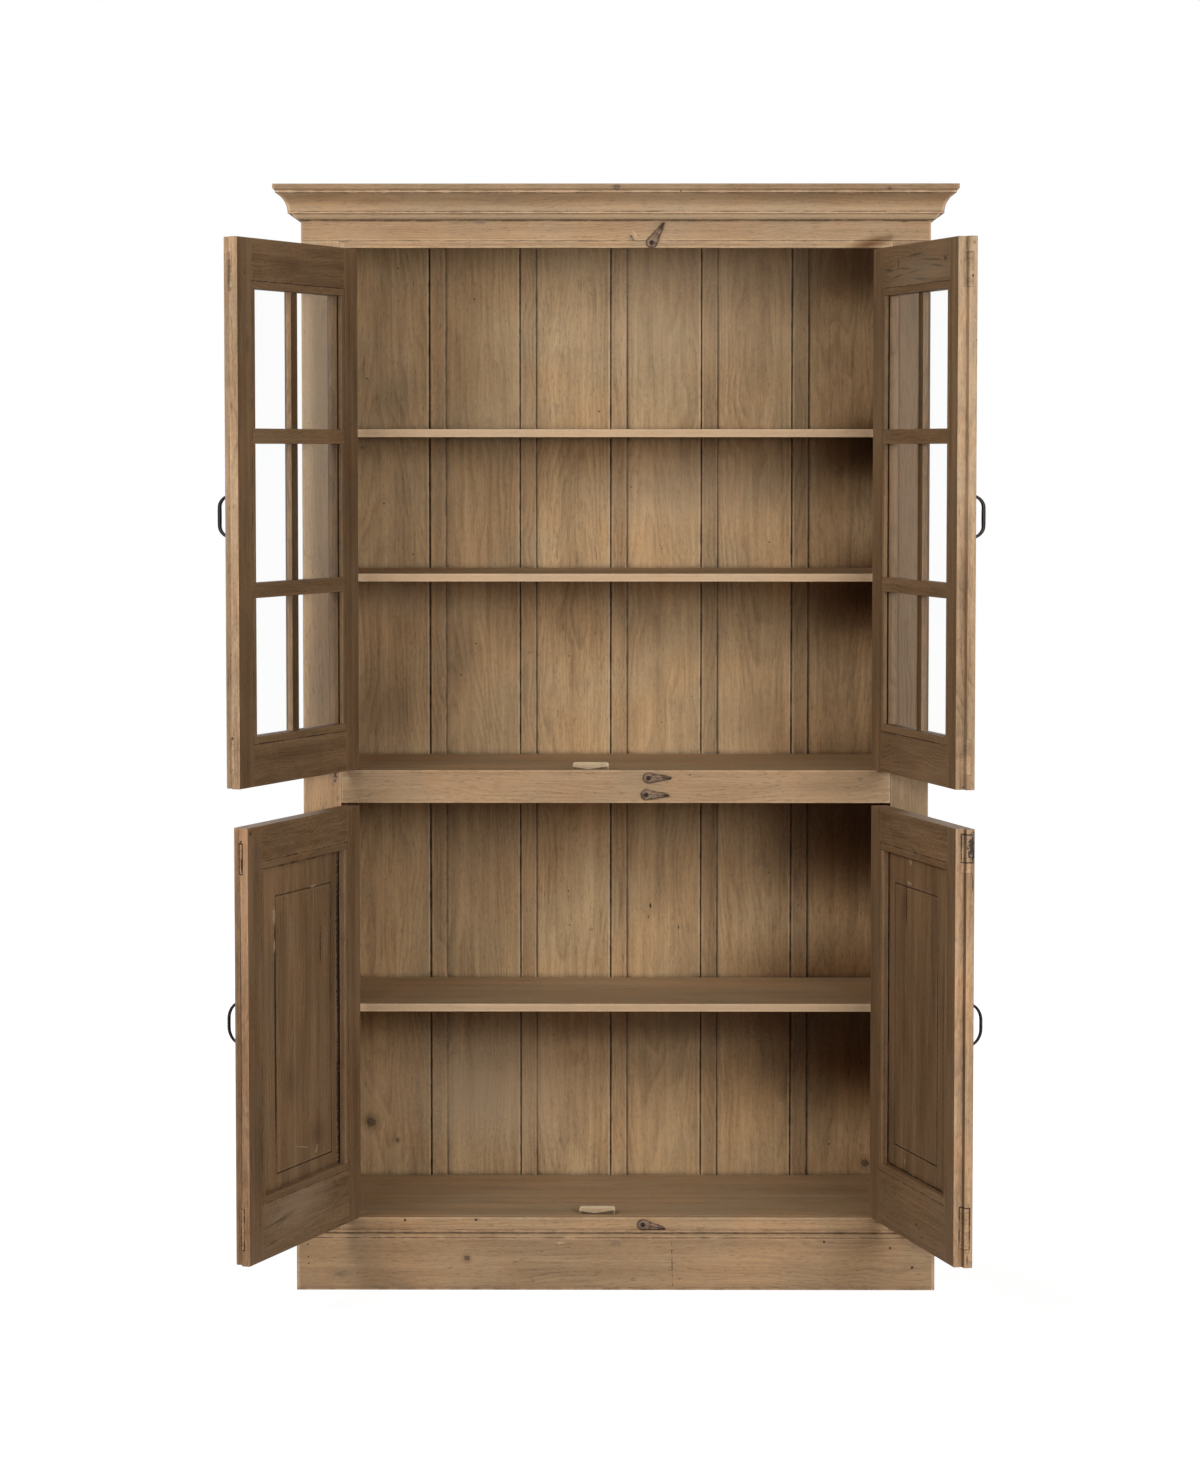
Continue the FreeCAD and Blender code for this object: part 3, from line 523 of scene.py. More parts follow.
def on_face(y, table, depth=mark_depth):
    """Marks on an upright face, from the left and the height of each."""
    return [(kind, (x, y, z), (half_width, depth, half_height), lean)
            for kind, x, z, half_width, half_height, lean in rows_of(table)]


def on_edge(x, table):
    """Marks on a door's free edge, from the depth and the height of each."""
    return [(kind, (x, y, z), (edge_mark_depth, half_width, half_height), lean)
            for kind, y, z, half_width, half_height, lean in rows_of(table)]


def round_button(x, z, angle):
    """The dark ring round a turn button's disc and the dark patch under its tip: dirt and painted
    shadow.
    """
    lean = math.radians(angle)
    tip = (x + tip_dirt_and_shadow_out * math.cos(lean), face_y, z + tip_dirt_and_shadow_out * math.sin(lean))
    return [("dirt_and_shadow", (x, face_y, z), (disc_dirt_and_shadow, mark_depth, disc_dirt_and_shadow), 0.0),
            ("dirt_and_shadow", tip, tip_dirt_and_shadow, angle)]


def round_bands(*bands):
    """Soft bands of tone right round a piece, each given as kind, height and half height. On the
    crown they are painted shade and painted light.
    """
    return [(kind, (0.0, 0.0, z), (right_round, right_round, half_height), 0.0)
            for kind, z, half_height in bands]


def box_outline(low, high, width, strength, mirror=1):
    """An outline for the outline group, from two corners of its box."""
    centre = [(a + b) / 2 for a, b in zip(low, high)]
    half = [abs(b - a) / 2 for a, b in zip(low, high)]
    centre[0] *= mirror
    return tuple(centre), tuple(half), width, strength


def level_lines(low, high, width):
    """Two dark lines right round a piece, at two heights. They are dirty joints, and on the frieze
    one is a painted shadow under the crown.
    """
    return box_outline((-1.0, -1.0, low), (1.0, 1.0, high), width, level_strength)


def with_marks(vector, colour, marks, outlines):
    """Lays the outlines and then the marks over a colour."""
    for centre, half_size, width, strength in outlines:
        mask = place_group(outline_group, {"Vector": vector, "Centre": centre,
                                           "Half size": half_size, "Width": width})["Mask"]
        colour = tint(colour, mask * strength, hole_and_shadow_black)
    for kind, centre, size, lean in marks:
        paint, strength, ragged, softness = mark_kinds[kind]
        mask = place_group(mark_group, {
            "Vector": vector, "Centre": centre, "Size": size, "Lean": math.radians(lean),
            "Ragged": ragged, "Softness": softness})["Mask"]
        colour = tint(colour, mask * strength, paint, "MULTIPLY" if kind == "gloom" else "MIX")
    return colour


print("kinds of mark", sorted(mark_kinds))

# %% [markdown]
# All the woodwork is one species under one wax, so one function makes every wood. It takes two
# tones, the way the grain runs and how strongly each kind of ageing shows, the corners' darkening
# among them, which is dirt and painted shade. It can also lighten some faces with painted light.
# Roughness follows the fibres, and a fine bump lets the light catch them.

# %% The wood
pore_brown = (0.035, 0.022, 0.013)
smudge_grey = (0.10, 0.085, 0.07)
halo_brown = (0.13, 0.075, 0.04)
eye_brown = (0.03, 0.018, 0.012)
grime_black = (0.022, 0.014, 0.008)
speck_black = (0.025, 0.017, 0.012)
mitre_black = (0.02, 0.013, 0.008)
cool_cast = (0.96, 1.01, 0.99)
warm_cast = (1.02, 0.995, 0.91)
bare_lift = (1.45, 1.5, 1.55)
tone_shares = {"Clouds": 1.0, "Fibre": 0.75, "Streaks": 0.8, "Sand": 0.55}
board_spread = 0.20
step_depth = 0.0205
step_width = 0.012


def near(value, place):
    """1 within half a millimetre of a place, fading out."""
    return ramp(abs(value - place), 0.0005, 0.0009, 1.0, 0.0)


def free_edge(local, door):
    """1 on the free edge of a door, on both sides of the step that laps the other door. On the
    upper right door it also takes the step's wall, which lies in shade, so that this wall gets
    painted light.
    """
    x, y, z = split(local)
    x = abs(x)
    outermost = ramp(x, door_free - 0.0010, door_free - 0.0004)
    half = y < step_depth if door_side(door) < 0 else y > step_depth
    bare = maths("MAXIMUM", outermost, near(x, door_free - step_width) * half)
    # Painted light on the upper right door's step wall, which lies in shade.
    if door == "upper_right":
        step_wall_highlight = near(y, step_depth) * (x > door_free - step_width - 0.0005)
        bare = maths("MAXIMUM", bare, step_wall_highlight)
    return bare


def strip_lines(colour, within, board_width, strip_width):
    """The painted shadow and dirt beside a board's strip, the painted highlight on the arris of the
    next strip and the gap between.
    """
    # Painted shadow, with some dirt, where the proud strip shades the field beside it.
    strip_shadow_and_dirt = ramp(abs(within - strip_width), 0.0006, 0.0022, 0.7, 0.0)
    colour = tint(colour, strip_shadow_and_dirt, hole_and_shadow_black)
    # Painted highlight on the arris next to the gap.
    arris_highlight = (ramp(within, board_width - 0.0062, board_width - 0.0046)
             * ramp(within, board_width - 0.0034, board_width - 0.0026, 0.5, 0.0))
    colour = tint(colour, arris_highlight, pale_wear_and_highlight)
    gap = ramp(within, board_width - 0.0022, board_width - 0.0014, 0.0, 0.9)
    return tint(colour, gap, hole_and_shadow_black)


def wood(name, dark, light, turn=UPRIGHT, door=None, wrap=False, lattice=False, seed=0.0,
         board_width=10.0, board_start=-5.0, strip_width=0.0, strip_shade=None, figure=0.4,
         contrast=1.0, wear=0.8, grime=0.8, pale_front=None, edge_shade=None, flank_highlight=None,
         knots=(), marks=(), outlines=()):
    """A waxed wood. dark and light are the two tones between which the grain runs."""
    material, plain = new_material(name)
    local = grain_space(plain, UPRIGHT, door) if door else plain
    vector = plain
    eyes = halos = 0.0
    for centre, radius in knots:
        knot = place_group(knot_group, {"Vector": vector, "Centre": centre, "Radius": radius})
        vector = knot["Vector"]
        eyes = maths("MAXIMUM", eyes, knot["Eye"])
        halos = maths("MAXIMUM", halos, knot["Halo"])
    if wrap:
        space, mitre = wrapped_grain(vector)
    else:
        space = grain_space(vector, turn, door)
    if lattice:
        space = lattice_grain(vector, local, door, space)
    grain = place_group(grain_group, {
        "Vector": space, "Board width": board_width, "Board start": board_start,
        "Strip width": strip_width, "Seed": seed})
    aged = place_group(wear_group, {"Vector": plain, "Seed": seed})
    tone = 0.5 + 0.25 * figure
    for part, share in tone_shares.items():
        tone = (grain[part] - 0.5) * (share * contrast) + tone
    tone = maths("MULTIPLY_ADD", grain["Rings"], -figure, tone, clamp=True)
    colour = tint(dark, tone, light)
    warmth = ramp(noise(vector, 7.0), 0.35, 0.65)
    colour = tint(colour, 1.0, tint(cool_cast, warmth, warm_cast), "MULTIPLY")
    colour = tint(colour, 1.0, (grain["Tone"] - 0.5) * board_spread + 1.0, "MULTIPLY")
    if edge_shade:
        colour = tint(colour, free_edge(local, door), edge_shade, "MULTIPLY")
    # Painted light: faces that look along the door's width, the glazing bars' flanks, are made
    # lighter as if lit.
    if flank_highlight:
        flank = door_turn(door) @ Vector((1.0, 0.0, 0.0))
        facing = vector_maths("DOT_PRODUCT", add_node("TexCoord")["Normal"], flank)
        colour = tint(colour, ramp(abs(facing), 0.5, 0.9), flank_highlight, "MULTIPLY")
    if strip_shade:
        colour = tint(colour, grain["Strip"], strip_shade, "MULTIPLY")
        colour = strip_lines(colour, grain["Within"], board_width, strip_width)
    colour = tint(colour, grain["Pores"] * 0.30, pore_brown)
    colour = tint(colour, aged["Smudges"] * 0.20, smudge_grey)
    if knots:
        colour = tint(colour, halos * 0.32, halo_brown)
        colour = tint(colour, eyes * 0.80, eye_brown)
    # The corners are darkened: dirt and painted shade.
    colour = tint(colour, aged["Grime"] * grime, grime_black)
    pale = [min(channel * lift, 0.9) for channel, lift in zip(light, bare_lift)]
    colour = tint(colour, aged["Worn"] * wear, pale)
    if pale_front:
        front = ramp(split(plain)[1], pale_front, pale_front + 0.0012, 0.38, 0.0)
        colour = tint(colour, front, pale)
    colour = tint(colour, aged["Specks"] * 0.75, speck_black)
    colour = with_marks(local, colour, marks, outlines)
    if wrap:
        colour = tint(colour, mitre, mitre_black)
    height = grain["Fibre"] * 0.5 + grain["Pores"] * -0.5 + grain["Sand"] * 0.6
    surface = bumpy(height - aged["Specks"], 0.0007, {
        "Base Color": colour, "Roughness": grain["Fibre"] * 0.25 + 0.46,
        "Specular IOR Level": 0.22})
    add_node("OutputMaterial", {"Surface": surface})
    return material


def dress(material, *names):
    """Gives a material to solids by name, in place of their plain one."""
    for name in names:
        slots = frame["nodes"][name].data.materials
        slots.clear()
        slots.append(material)


# %% [markdown]
# The face frame, frieze and mouldings catch the lamps straight on. They share two tones, and
# single boards are lighter or darker. The left stile is made lighter with painted light, most in
# its upper half, where the upper left door shades it. The boards lie across the front in the
# frieze and rails and stand up in the stiles and sides. The plinth's corners are darkened more
# than the others', with dirt and painted shade.

# %% Carcase, crown and plinth
frame_tones = ((0.272, 0.163, 0.088), (0.580, 0.371, 0.219))
turn_buttons = {"top": (0.0640, 1.8888, 58.0), "mid_upper": (0.0590, 0.9300, 0.0),
                "mid_lower": (0.0550, 0.8998, -2.0), "bottom": (0.0495, 0.1173, -11.0)}
# The left stile's lighter shade and its large pale marks are painted light, lifting the upper left
# door's shadow.
stiles = {"left_stile": (1.14, 1.0, """bleached -530 1700 80 380, worn -530 1450 80 350,
              crack -504.8 935 3.5 11, smudge -506 930 8 16"""),
          "right_stile": (0.72, 15.0, "")}
# The soft dark patch at the right end of the frieze and of the top rail is painted shade.
rails = {
    "frieze_board": (0.98, ["top"], """crack 28.9 1898 1.2 9.5 32, chip 34.5 1902 3 8 32,
        smudge 27 1896 6 11 32, gloom 462 1890.5 52 15 12, dark 489 1899 10 9,
        worn -483.9 1888.3 20 10, smudge -242.6 1925.6 16 6, line 519 1926.5 12 0.6 4"""),
    "top_rail": (1.18, ["top"], """gloom 452 1886 60 13 12, line -495 1886 0.5 10,
        line 495 1886 0.5 10, chip -487.5 1885 5 3.5"""),
    "mid_rail": (0.97, ["mid_upper", "mid_lower"], """line -495 914 0.5 40,
        line 495 914 0.5 40, smudge 440 928.1 10 5, crack 133.8 935.2 4 1.2 20,
        worn -485 927.8 12 10"""),
    "bottom_rail": (1.17, ["bottom"], """line -495 100 0.5 40, line 495 100 0.5 40,
        nail -382.2 125 3 3, nail -253.3 125.1 3 3""")}
plinth_table = """nail 377.5 88.2 2.8 2.8, nail 497 77.4 2.6 2.6, nail 537.1 41.7 3 3,
    chip -100.7 85.9 9 3 4, smudge -496 30.5 20 10, smudge 0.8 86 16 7, crack 102.3 48 0.8 43 1,
    stain -182.3 51 7 3 10, nail -558 83 2 2, nail -557 60 1.8 1.8, nail -556 48 1.8 1.8"""


def shaded(shade, tones=frame_tones):
    """Two tones, lighter or darker."""
    return [[shade * c for c in tone] for tone in tones]


for stile, (shade, seed, table) in stiles.items():
    dress(wood(stile + "_wood", *shaded(shade), seed=seed, marks=on_face(face_y, table)), stile)
dress(wood("side_wood", *frame_tones, turn=SIDEWAYS, board_width=0.157, board_start=0.0075,
           seed=2.0), "left_side", "right_side")
# Each rail gets the dark rings round its turn buttons, which are dirt and painted shadow.
for number, (rail, (shade, buttons, table)) in enumerate(rails.items()):
    dirt_and_shadow = [mark for button in buttons for mark in round_button(*turn_buttons[button])]
    dress(wood(rail + "_wood", *shaded(shade), turn=LYING, seed=3.0 + number,
               marks=dirt_and_shadow + on_face(face_y, table),
               # The line at 1.9272 is a painted shadow under the crown on the frieze; the one at
               # 1.892 is the joint with the top rail.
               outlines=[level_lines(1.892, 1.9272, 0.0009)]), rail)
# Painted shade and light on the crown: the brown band darkens the top of the cove, and the pale
# bands lighten its lowest members. Its strong corner darkening is dirt and painted shade.
dress(wood("crown_wood", *frame_tones, wrap=True, seed=8.0, wear=1.0, grime=1.6,
           marks=round_bands(("band", 1.9660, 0.0130), ("worn", 1.9480, 0.0075),
                             ("bleached", 1.9340, 0.0070)),
           outlines=[level_lines(1.929, 1.9432, 0.0012), level_lines(1.9752, 1.9797, 0.0011)]),
      "crown_moulding")
dress(wood("top_board_wood", *shaded(0.86), turn=FLAT, board_width=0.17, board_start=-0.04,
           seed=9.0, wear=1.0, marks=round_bands(("band", 1.9930, 0.0080)),
           knots=(((0.0021, -0.040, 1.9847), 0.007), ((0.4861, -0.040, 1.981), 0.004))),
      "top_board")
dress(wood("plinth_wood", *frame_tones, wrap=True, seed=10.0, grime=1.0,
           knots=(((-0.2693, -0.0075, 0.0583), 0.0055),), marks=on_face(-0.0075, plinth_table),
           outlines=[level_lines(0.0952, 0.1026, 0.0009)]),
      "plinth", "plinth_cap")
print("stiles and rails", *stiles, *rails)

# %% [markdown]
# Six boards close the back, side by side, and each has a proud strip at its left. The strips
# are darker than the fields, with a painted shadow and some dirt beside each one. Painted shade
# darkens the far corners on the right and the boards under the shelves, and painted light makes
# the middle of each half paler. Inside, the shelves and floors lie across, with pale front edges
# where plates and hands slid over them.

# %% Back boards, shelves and floors
back_face = 0.4665
# Most of the large soft marks here are painted light and shade: the pale ones in the middle of each
# half are painted light, and the darkest ones, under the shelves and in the far corners on the
# right, are painted shade. The small marks are real nails, cracks, smudges and stains.
back_table = """worn 150 1870 450 80, worn 130 1755 340 150, worn 140 1440 260 115,
    worn -280 300 240 170, worn -200 290 300 150, dark -440 1030 130 160,
    gloom 440 870 340 150, gloom 420 480 420 170, gloom 520 1540 150 100,
    gloom 520 1280 170 100, gloom 500 1520 180 70, gloom 480 1240 190 90,
    gloom 500 780 360 170, gloom 500 360 400 180, dark 50 415 400 50, band 267 1000 90 90,
    band -420 1620 60 80, band -310 1110 80 100, worn -420 1240 80 60, dark 500 1860 170 90,
    smudge -164.2 1135.1 7 5, smudge 421.7 961.4 8 4, stain -483.2 1523.1 7 5,
    smudge -107.6 196.4 5 8, nail 65.7 649.4 2.4 6 3, crack 61.6 627.1 1 4 8,
    crack 119.7 606.4 1.2 7, crack 348.1 649.6 1.2 4 -15, smudge -47 603.1 6 4"""
dress(wood("back_wood", (0.275, 0.170, 0.085), (0.650, 0.432, 0.243), seed=11.0,
           board_width=0.172, board_start=-0.526, strip_width=0.0305,
           strip_shade=(0.84, 0.83, 0.84), figure=0.45, contrast=1.15, wear=0.9, grime=1.0,
           knots=(((-0.4708, back_face, 0.2309), 0.010), ((-0.4198, back_face, 0.1961), 0.004),
                  ((0.4786, back_face, 0.1523), 0.008)),
           marks=on_face(back_face, back_table, depth=0.03)), "back_boards")
shelf_tones = ((0.350, 0.226, 0.130), (0.600, 0.405, 0.245))
dress(wood("shelf_wood", *shelf_tones, turn=FLAT, board_width=0.20, board_start=0.07, seed=12.0,
           pale_front=0.0702), "upper_shelves", "lower_shelf")
dress(wood("floor_wood", *shelf_tones, turn=FLAT, board_width=0.22, board_start=0.03,
           seed=13.0), "upper_floor", "lower_floor", "shelf_cleats")
stop_wood = wood("stop_wood", (0.42, 0.30, 0.18), (0.66, 0.50, 0.33), turn=LYING, seed=14.0)
print("marks on the back", back_table.count(",") + 1)

# %% [markdown]
# Every door is framed from its own boards: two stiles, two rails, and glazing bars or a fielded
# panel. Beads hold the glass and the panels from inside. The inner faces have darkened, but the
# free edges are bare and pale, and the ends of the rails' tenons show in them. The marks are
# placed in the closed door, measured from its hinge, and dirt outlines the tenons and the beads.

# %% The doors' marks
door_back = 0.0355
panel_back = 0.0225
tenon_ends = {"upper_left": ((0.0149, 0.0225, 1.786, 1.847),),
              "upper_right": (),
              "lower_left": ((0.0149, 0.0258, 0.161, 0.232), (0.0149, 0.0258, 0.803, 0.855)),
              "lower_right": ((0.0109, 0.0256, 0.165, 0.236), (0.0089, 0.0256, 0.8245, 0.872))}
edge_tables = {
    "upper_left": """nail 15 1788 1.2 4, nail 22.1 1033.3 3 3, nail 20.5 980 2.6 2.6,
        worn 30 1800 6 50""",
    "upper_right": """rust 11.1 1865.6 4 4.5, nail 14 1810.2 1.8 4, nail 28.9 1825.2 1.2 2.8,
        nail 28.8 1811.1 1.2 2.8, chip 29 1804 3 12, chip 10.3 1736.6 1.4 1.4,
        nail 6.9 1702.4 1.2 1.4""",
    "lower_left": """nail 21.2 520 1.4 340, crack 10 856 6 20, nail 23.4 858.6 2.6 2.6,
        nail 15 836.3 1.2 8, nail 24 820 1.3 15, smudge 8.5 850 8 26, nail 20 148 1 11""",
    "lower_right": """smudge 12 850 13 30, crack 11 848 8 24, nail 8.8 789 1.2 17,
        nail 25.2 824.5 2 1.6, smudge 9 142 9 10, nail 15 147 1.3 11"""}
stile_tables = {
    "upper_left": "stain 459.6 1698.3 10 30, crack 468.6 1815.6 1.6 6",
    "upper_right": "smudge -30 1824 5 8",
    "lower_left": "smudge 463.4 835 14 42, dark 460 795 12 20, crack 485.1 872.1 6 4",
    "lower_right": "smudge -473.3 765.9 9 80"}
rail_tables = {
    "upper_left": "crack 390 1798 30 1.4, crack 250 1800 26 1.3, dark 280 1835 120 20",
    "upper_right": """crack -95 1834.7 26 2.6 5, crack -150 1844 4.5 11 -12,
        crack -189.1 1834 42 2.4 4, crack -235 1827.5 40 2.2 -3, crack -280 1813 52 2.2 3,
        crack -340.5 1844.1 70 2.2 3, crack -372 1832.5 46 2.4 4, crack -414.1 1842.9 11 5,
        crack -150 1822.5 42 2.2 -4, crack -374.8 1804.7 56 2.2 1.5, crack -250 1856 50 2 -2,
        worn -260 1825 260 50""",
    "lower_left": """worn 300 205 220 60, crack 362 818.5 42 1.4, crack 290.5 843 1.6 6,
        stain 350 192 70 8 -8, crack 383.7 190.9 40 1.2 -4, crack 406.2 157.5 30 1.2 -4""",
    "lower_right": """nail -311.7 153.2 4 3, crack -278.7 169.4 6 2.4,
        chip -107.7 808.2 3 6 20"""}
panel_tables = {
    "lower_left": """nail 356 511 4.8 265, crack 74.5 520 6 300, crack 76 640 7.5 150,
        crack 76 360 7.5 120, chip 359 717.2 7 18, chip 358 666.6 5 11, chip 240 298.5 40 1 10,
        chip 175 286 4 10 30, dark 170 312.4 70 40, dark 290 420 50 60,
        crack 154.6 643.6 3 42, chip 185.7 753 12 4""",
    "lower_right": """chip -186.6 759.5 16 4, chip -195.6 796.8 10 6, dark -158.8 720 20 50,
        crack -172.7 720 4 50, line -352.7 518 2.8 235, chip -168.9 262.7 4 7 -10,
        dark -390 550 30 200"""}
for title, tables in (("edges", edge_tables), ("stiles", stile_tables), ("rails", rail_tables),
                      ("panels", panel_tables)):
    print("marks on the", title, sum(len([*rows_of(table)]) for table in tables.values()))

# %% [markdown]
# The upper doors are a little darker than the lower ones, and the left doors darker than the
# right ones. The glazing bars' flanks get painted light, and so does the shaded step wall in the
# upper right door's free edge.

# %% Doors
door_tones = ((0.122, 0.066, 0.031), (0.375, 0.224, 0.123))
door_shades = {"upper_left": 0.91, "upper_right": 1.02, "lower_left": 0.93, "lower_right": 1.04}
edge_shades = {"upper_left": (2.60, 2.90, 3.40), "upper_right": (1.76, 1.96, 2.24),
               "lower_left": (1.80, 1.75, 1.85), "lower_right": (2.10, 2.20, 2.45)}
# Painted light on the glazing bars' flanks, for each door.
flank_highlights = {"upper_left": (2.15, 2.20, 2.35), "upper_right": (1.35, 1.38, 1.45)}
tenon_strengths = {"upper_left": 0.7}
bead_width = 0.013
sight_sides = (0.07125, 0.42875)
field_sides = (0.10725, 0.35275)
field_top = 0.753
panel_lines = {"lower_left": (0.0042, 0.1), "lower_right": (0.0030, 0.0)}
fields = {"lower_left": (0.2685, 0.50), "lower_right": (0.2835, 0.45)}


def door_outline(door, sides, low, high, width, strength, past=0.0):
    """The outline of a rectangle in a door's face. past makes it larger all round."""
    left, right = sides
    return box_outline((left - past, -0.5, low - past), (right + past, 0.5, high + past),
                       width, strength, -door_side(door))


for number, door in enumerate(open_angles):
    level = door.split("_")[0]
    seed = 20.0 + 7.0 * number
    side = -door_side(door)
    bottom, top = door_sights[level]
    tenons = [box_outline((0.4, front, low), (0.6, back, high), 0.0012,
                          tenon_strengths.get(door, 0.9), side)
              for front, back, low, high in tenon_ends[door]]
    bead_outside = door_outline(door, sight_sides, bottom, top, 0.0012, 0.75, past=bead_width)
    on_edges = on_edge(side * door_free, edge_tables[door])
    dark, light = shaded(door_shades[door], door_tones)
    door_wood = {"dark": dark, "light": light, "door": door}
    framing = {**door_wood, "wear": 0.2, "edge_shade": edge_shades[door],
               "outlines": tenons + [bead_outside]}
    dress(wood(door + "_stile_wood", **framing, seed=seed, contrast=1.3,
               grime=0.2 if level == "upper" else 0.75,
               marks=on_face(door_back, stile_tables[door]) + on_edges),
          door + "_hinge_stile", door + "_meeting_stile")
    dress(wood(door + "_rail_wood", **framing, turn=LYING, seed=seed + 1, contrast=1.4,
               marks=on_face(door_back, rail_tables[door]) + on_edges),
          door + "_top_rail", door + "_bottom_rail")
    beads = {**door_wood, "lattice": True, "grime": 0.3, "outlines": [bead_outside]}
    if level == "upper":
        dress(wood(door + "_bar_wood", **door_wood, lattice=True, seed=seed + 2, contrast=1.3,
                   grime=0.2, wear=0.5, flank_highlight=flank_highlights[door]),
              door + "_glazing_bars")
        dress(wood(door + "_bead_wood", **beads, seed=seed + 4, wear=0.2, contrast=1.3),
              door + "_glazing_beads")
        continue
    dress(wood(door + "_bead_wood", **beads, seed=seed + 2, wear=0.35), door + "_panel_beads")
    line_width, past_sight = panel_lines[door]
    bead_inside = door_outline(door, sight_sides, bottom - past_sight, top, line_width, 0.95)
    field_bottom, strength = fields[door]
    field = door_outline(door, field_sides, field_bottom, field_top, 0.0017, strength)
    dress(wood(door + "_panel_wood", **door_wood, seed=seed + 3, figure=0.6, contrast=1.4,
               wear=0.4, outlines=[bead_inside, field],
               marks=on_face(panel_back, panel_tables[door])), door + "_panel")
print("woods", len(bpy.data.materials))

# %% [markdown]
# The iron is hand-finished and waxed black, dull, with a little brown where it has rusted. The
# turn buttons are browner than the pulls, and dark round the edge. Iron is a metal, so its colour
# is in its reflection, and a soft roughness keeps the reflection of the white studio dim.

# %% Iron
def iron(name, colour, rust, rust_share, roughness, edge=2.6):
    """Waxed iron. edge is how much lighter, or darker, its edges are."""
    material, plain = new_material(name)
    worn = place_group(wear_group, {"Vector": plain, "Seed": 0.0})["Worn"]
    rust_from = 0.62 - rust_share * 0.3
    rusty = ramp(noise(plain, 160.0, detail=4.0), rust_from, rust_from + 0.1)
    paint = tint(tint(colour, rusty, rust), worn * (0.45 if edge > 1 else 0.8),
                 [channel * edge for channel in colour])
    hammered = noise(plain, 420.0, detail=2.0)
    surface = bumpy(hammered, 0.0005, {
        "Base Color": paint, "Roughness": rusty * 0.2 + roughness, "Metallic": 0.6,
        "Specular IOR Level": 0.35})
    add_node("OutputMaterial", {"Surface": surface})
    return material


pull_iron = iron("pull_iron", (0.018, 0.016, 0.015), (0.05, 0.03, 0.02), 0.2, 0.42)
button_iron = iron("button_iron", (0.225, 0.148, 0.098), (0.170, 0.100, 0.062), 0.4, 0.60,
                   edge=0.35)
screw_iron = iron("screw_iron", (0.018, 0.013, 0.010), (0.040, 0.022, 0.014), 0.4, 0.55)
hinge_iron = iron("hinge_iron", (0.035, 0.030, 0.026), (0.08, 0.045, 0.028), 0.4, 0.5)
for door in open_angles:
    dress(hinge_iron, door + "_hinge_leaves")
dress(hinge_iron, "frame_hinge_leaves", "hinge_pins")
print("irons", [m.name for m in (pull_iron, button_iron, screw_iron, hinge_iron)])

# %% [markdown]
# Old window glass is clear, with a faint green tint and a slow waviness in its reflections.
# Light passes through it to the boards behind, so shadow rays go straight through. Without
# that, each pane would shade the cabinet like a wall.

# %% Glass
glass, plain = new_material("glass")
waviness = noise(plain, 7.0, 4.0, detail=1.0)
pane = bumpy(waviness, 0.004, {
    "Base Color": (0.97, 0.985, 0.975, 1), "Roughness": 0.015, "IOR": 1.45,
    "Transmission Weight": 1.0}, strength=0.25)
clear = add_node("BsdfTransparent", {"Color": (0.995, 1.0, 0.998, 1)})
path = add_node("LightPath")
passing = maths("MAXIMUM", path["Is Shadow Ray"], path["Is Diffuse Ray"])
clearness = maths("MAXIMUM", passing, 0.97)
surface = add_node("MixShader", {0: clearness, 1: pane, 2: clear[0]})
add_node("OutputMaterial", {"Surface": surface[0]})
dress(glass, "upper_left_glass_panes", "upper_right_glass_panes")
print("materials", len(bpy.data.materials))

# %% [markdown]
# The small pieces are modelled in place. A primitive is added where it belongs, shaped in edit
# mode, and most are finished with a bevel. The last helper then settles it: its place goes into
# its mesh, its faces are turned outwards, a door's piece is swung open with its door, and the
# piece is given its material and the body that carries it, while the solids it replaces are hidden.

# %% Settling a finished piece
FORWARD = (math.pi / 2, 0.0, 0.0)


def start_clean():
    """Nothing may be selected before a new primitive is added."""
    if bpy.context.object and bpy.context.object.mode != "OBJECT":
        bpy.ops.object.mode_set(mode="OBJECT")
    bpy.ops.object.select_all(action="DESELECT")


def edit_new():
    """Puts a new primitive's place into its mesh, and opens it in edit mode."""
    bpy.ops.object.transform_apply(location=True, rotation=True, scale=True)
    bpy.ops.object.mode_set(mode="EDIT")
    return bpy.context.object


def select_all():
    bpy.ops.mesh.select_all(action="SELECT")


def pick(test, kind="FACE"):
    """Selects faces, edges or vertices of the piece in edit mode by a test on each."""
    bpy.ops.mesh.select_mode(type=kind)
    bpy.ops.mesh.select_all(action="DESELECT")
    bpy.ops.object.mode_set(mode="OBJECT")
    mesh = bpy.context.object.data
    for part in {"FACE": mesh.polygons, "EDGE": mesh.edges, "VERT": mesh.vertices}[kind]:
        part.select = bool(test(part))
    bpy.ops.object.mode_set(mode="EDIT")


def extrude(x, y, z):
    bpy.ops.mesh.extrude_region_move(TRANSFORM_OT_translate={"value": (x, y, z)})


def join(parts):
    """Makes one piece of several."""
    start_clean()
    for part in parts:
        part.select_set(True)
    bpy.context.view_layer.objects.active = parts[0]
    bpy.ops.object.join()


